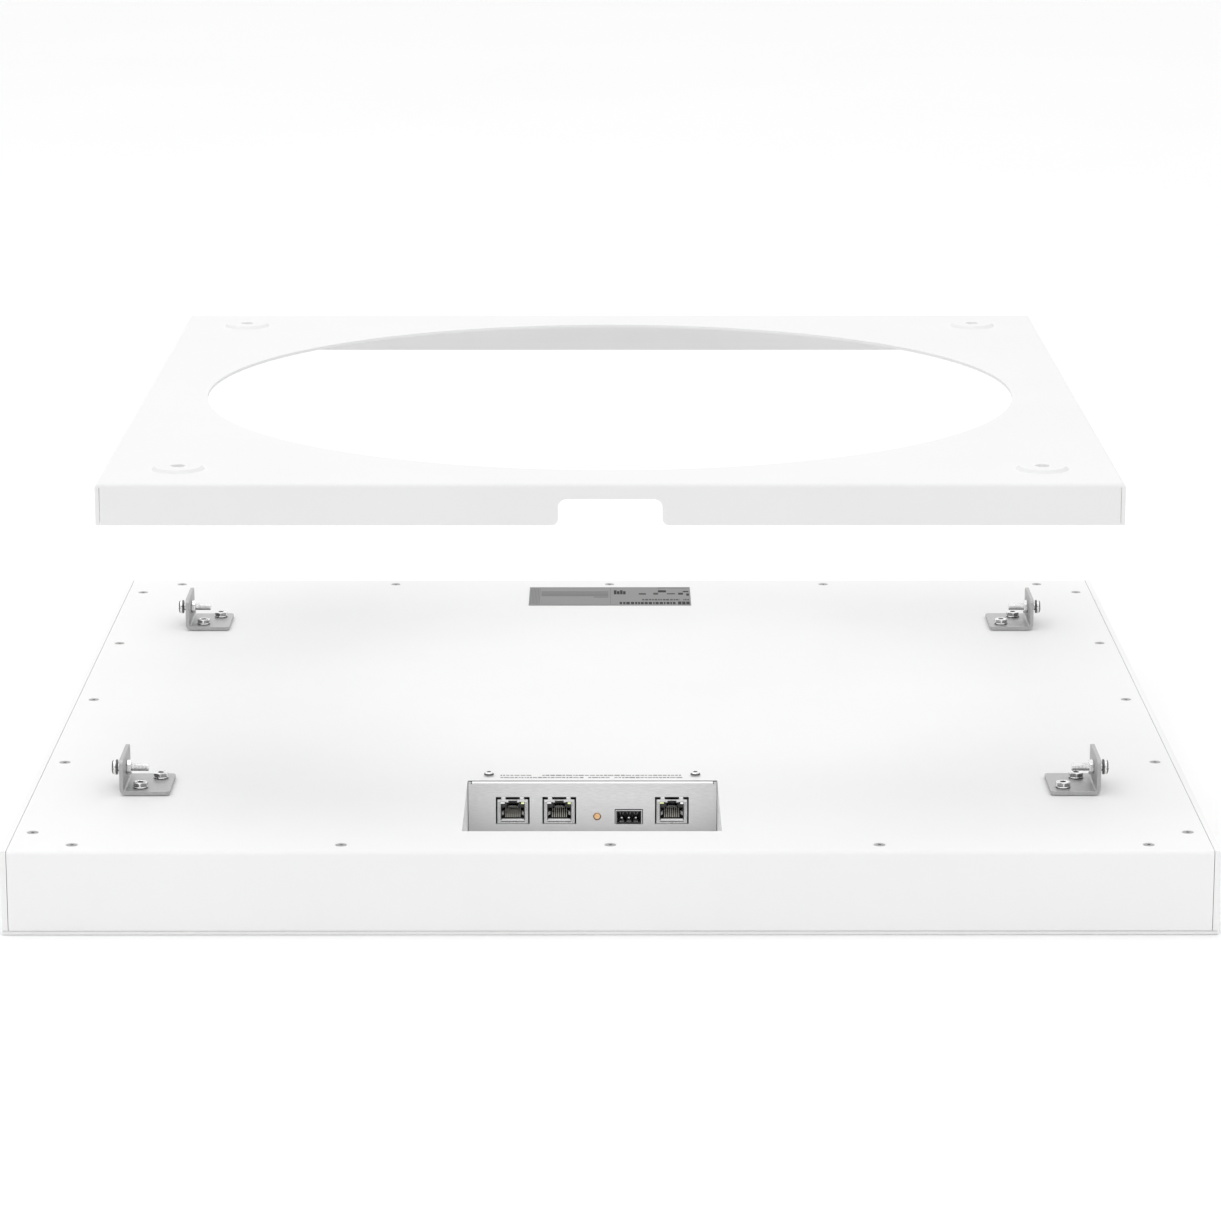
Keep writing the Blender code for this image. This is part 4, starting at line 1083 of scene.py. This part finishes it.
def make_finishes():
    """Every material, by its short name."""
    return {
        "cover": powder_coat("cover_powder_coat", grey(0.905), grey(0.890)),
        "frame": powder_coat("frame_powder_coat", grey(0.835), grey(0.820)),
        "grille": powder_coat("grille_powder_coat", grey(0.890), grey(0.865)),
        "cloth": woven_cloth(),
        "aluminium": satin_aluminium(),
        "zinc": dull_zinc(),
        "steel": bright_steel("plated_steel", 0.92, 0.20),
        # painted shade and painted dark reflection: a darker copy of the plated steel, for chosen faces of
        # the screws
        "painted_shade_steel": bright_steel("painted_shade_steel", 0.16, 0.30),
        "grey_steel": bright_steel("grey_steel", 0.46, 0.40),
        # painted dark reflection: a dimmer copy of the plated steel for the hexagon bolt's flats
        "painted_reflection_flat_steel": bright_steel("painted_reflection_flat_steel", 0.42, 0.28),
        "shield": tinned_shield(),
        "bright_tin": bright_steel("bright_tin", 0.95, 0.40, 0.45),
        "gold": gold_contacts(),
        "black": moulded("black_plastic", grey(0.022), grey(0.034), 0.45),
        "dark_grey": moulded("dark_grey_plastic", grey(0.130), grey(0.180), 0.40),
        "pale_plastic": moulded("pale_plastic", grey(0.42), grey(0.52), 0.45),
        "orange": moulded("orange_plastic", (0.98, 0.55, 0.27), (1.00, 0.66, 0.38), 0.35, 0.000004),
        "board": circuit_board(),
        "label": label_foil(),
        "dark_ink": printed("dark_ink", 0.03),
        "mid_ink": printed("mid_ink", 0.08),
        "faint_ink": printed("faint_ink", 0.215),
        "pale_ink": printed("pale_ink", 0.30),
        "white_window": light_window("white_window", (0.92, 0.93, 0.92), 0.35),
        "lime_window": light_window("lime_window", (0.85, 0.90, 0.45), 0.35),
    }


# ================================================================ stage
def make_camera():
    """The camera at the picture's viewing angle."""
    data = bpy.data.cameras.new("camera")
    data.lens = CAMERA_LENS
    data.sensor_width = 36.0
    data.clip_start = 0.05
    data.clip_end = 200.0
    camera = bpy.data.objects.new("camera", data)
    camera.location = CAMERA_PLACE
    camera.rotation_euler = (math.pi / 2 - CAMERA_PITCH, 0, -CAMERA_YAW)
    bpy.context.scene.collection.objects.link(camera)
    bpy.context.scene.camera = camera


def make_floor():
    """A wide plain floor under the tile."""
    shape = bmesh.new()
    corners = ((-1, -1), (1, -1), (1, 1), (-1, 1))
    verts = [shape.verts.new((x * FLOOR_HALF, y * FLOOR_HALF, -FLOOR_DROP)) for x, y in corners]
    shape.faces.new(verts)
    mesh = mesh_of("floor", shape, pale_floor())
    floor = bpy.data.objects.new("floor", mesh)
    bpy.context.scene.collection.objects.link(floor)


def make_world():
    """White studio with a grey flag low on each side, which gives the metal its dark edges."""
    world = bpy.data.worlds.new("studio")
    world.use_nodes = True
    tree = world.node_tree
    background = tree.nodes["Background"]
    direction = tree.nodes.new("ShaderNodeTexCoord").outputs["Generated"]
    split = tree.nodes.new("ShaderNodeSeparateXYZ")
    tree.links.new(direction, split.inputs[0])

    def spread(source, start, end, low, high):
        made = tree.nodes.new("ShaderNodeMapRange")
        made.interpolation_type = "SMOOTHSTEP"
        tree.links.new(source, made.inputs["Value"])
        made.inputs["From Min"].default_value = start
        made.inputs["From Max"].default_value = end
        made.inputs["To Min"].default_value = low
        made.inputs["To Max"].default_value = high
        return made.outputs["Result"]

    def combined(operation, *sources):
        made = tree.nodes.new("ShaderNodeMath")
        made.operation = operation
        for source, socket in zip(sources, made.inputs):
            tree.links.new(source, socket)
        return made.outputs[0]

    sideways = spread(combined("ABSOLUTE", split.outputs["X"]), *SIDE_FLAG, 0.0, 1.0)
    behind = spread(split.outputs["Y"], *REAR_FLAG, 1.0, 0.0)
    above = spread(split.outputs["Z"], *FLAG_FOOT, 0.0, 1.0)
    below = spread(split.outputs["Z"], *FLAG_HEAD, 1.0, 0.0)
    either = combined("MAXIMUM", sideways, behind)
    flag = combined("MULTIPLY", either, combined("MULTIPLY", above, below))
    # on a colour mix, inputs 6 and 7 are the two colours and output 2 is the result
    mix = tree.nodes.new("ShaderNodeMix")
    mix.data_type = "RGBA"
    tree.links.new(flag, mix.inputs[0])
    mix.inputs[6].default_value = (1.0, 1.0, 1.0, 1.0)
    mix.inputs[7].default_value = (*grey(FLAG_TONE), 1.0)
    tree.links.new(mix.outputs[2], background.inputs["Color"])
    background.inputs["Strength"].default_value = WORLD_STRENGTH
    bpy.context.scene.world = world


def make_lights():
    """One large soft light high over the tile."""
    data = bpy.data.lights.new("overhead", "AREA")
    data.shape = "SQUARE"
    data.size = LIGHT_SIZE
    data.energy = LIGHT_POWER
    light = bpy.data.objects.new("overhead", data)
    light.location = LIGHT_PLACE
    light.rotation_euler = (Vector(LIGHT_AIM) - light.location).to_track_quat("-Z", "Y").to_euler()
    bpy.context.scene.collection.objects.link(light)


def main():
    """Camera and stage first, then every visible piece."""
    bpy.context.scene.view_settings.view_transform = "Standard"
    make_camera()
    make_floor()
    make_world()
    make_lights()
    finish = make_finishes()
    finish_cad(finish)
    place_fasteners(finish)
    for number in range(1, 4):
        jack_details(number, finish)
    header_details(finish)
    plate_trim(finish)
    button_cap(finish)
    legend(finish)
    label_marks(finish)
    stud_marks(finish)
    grille_cells(finish)
    grille_rim(finish)


main()
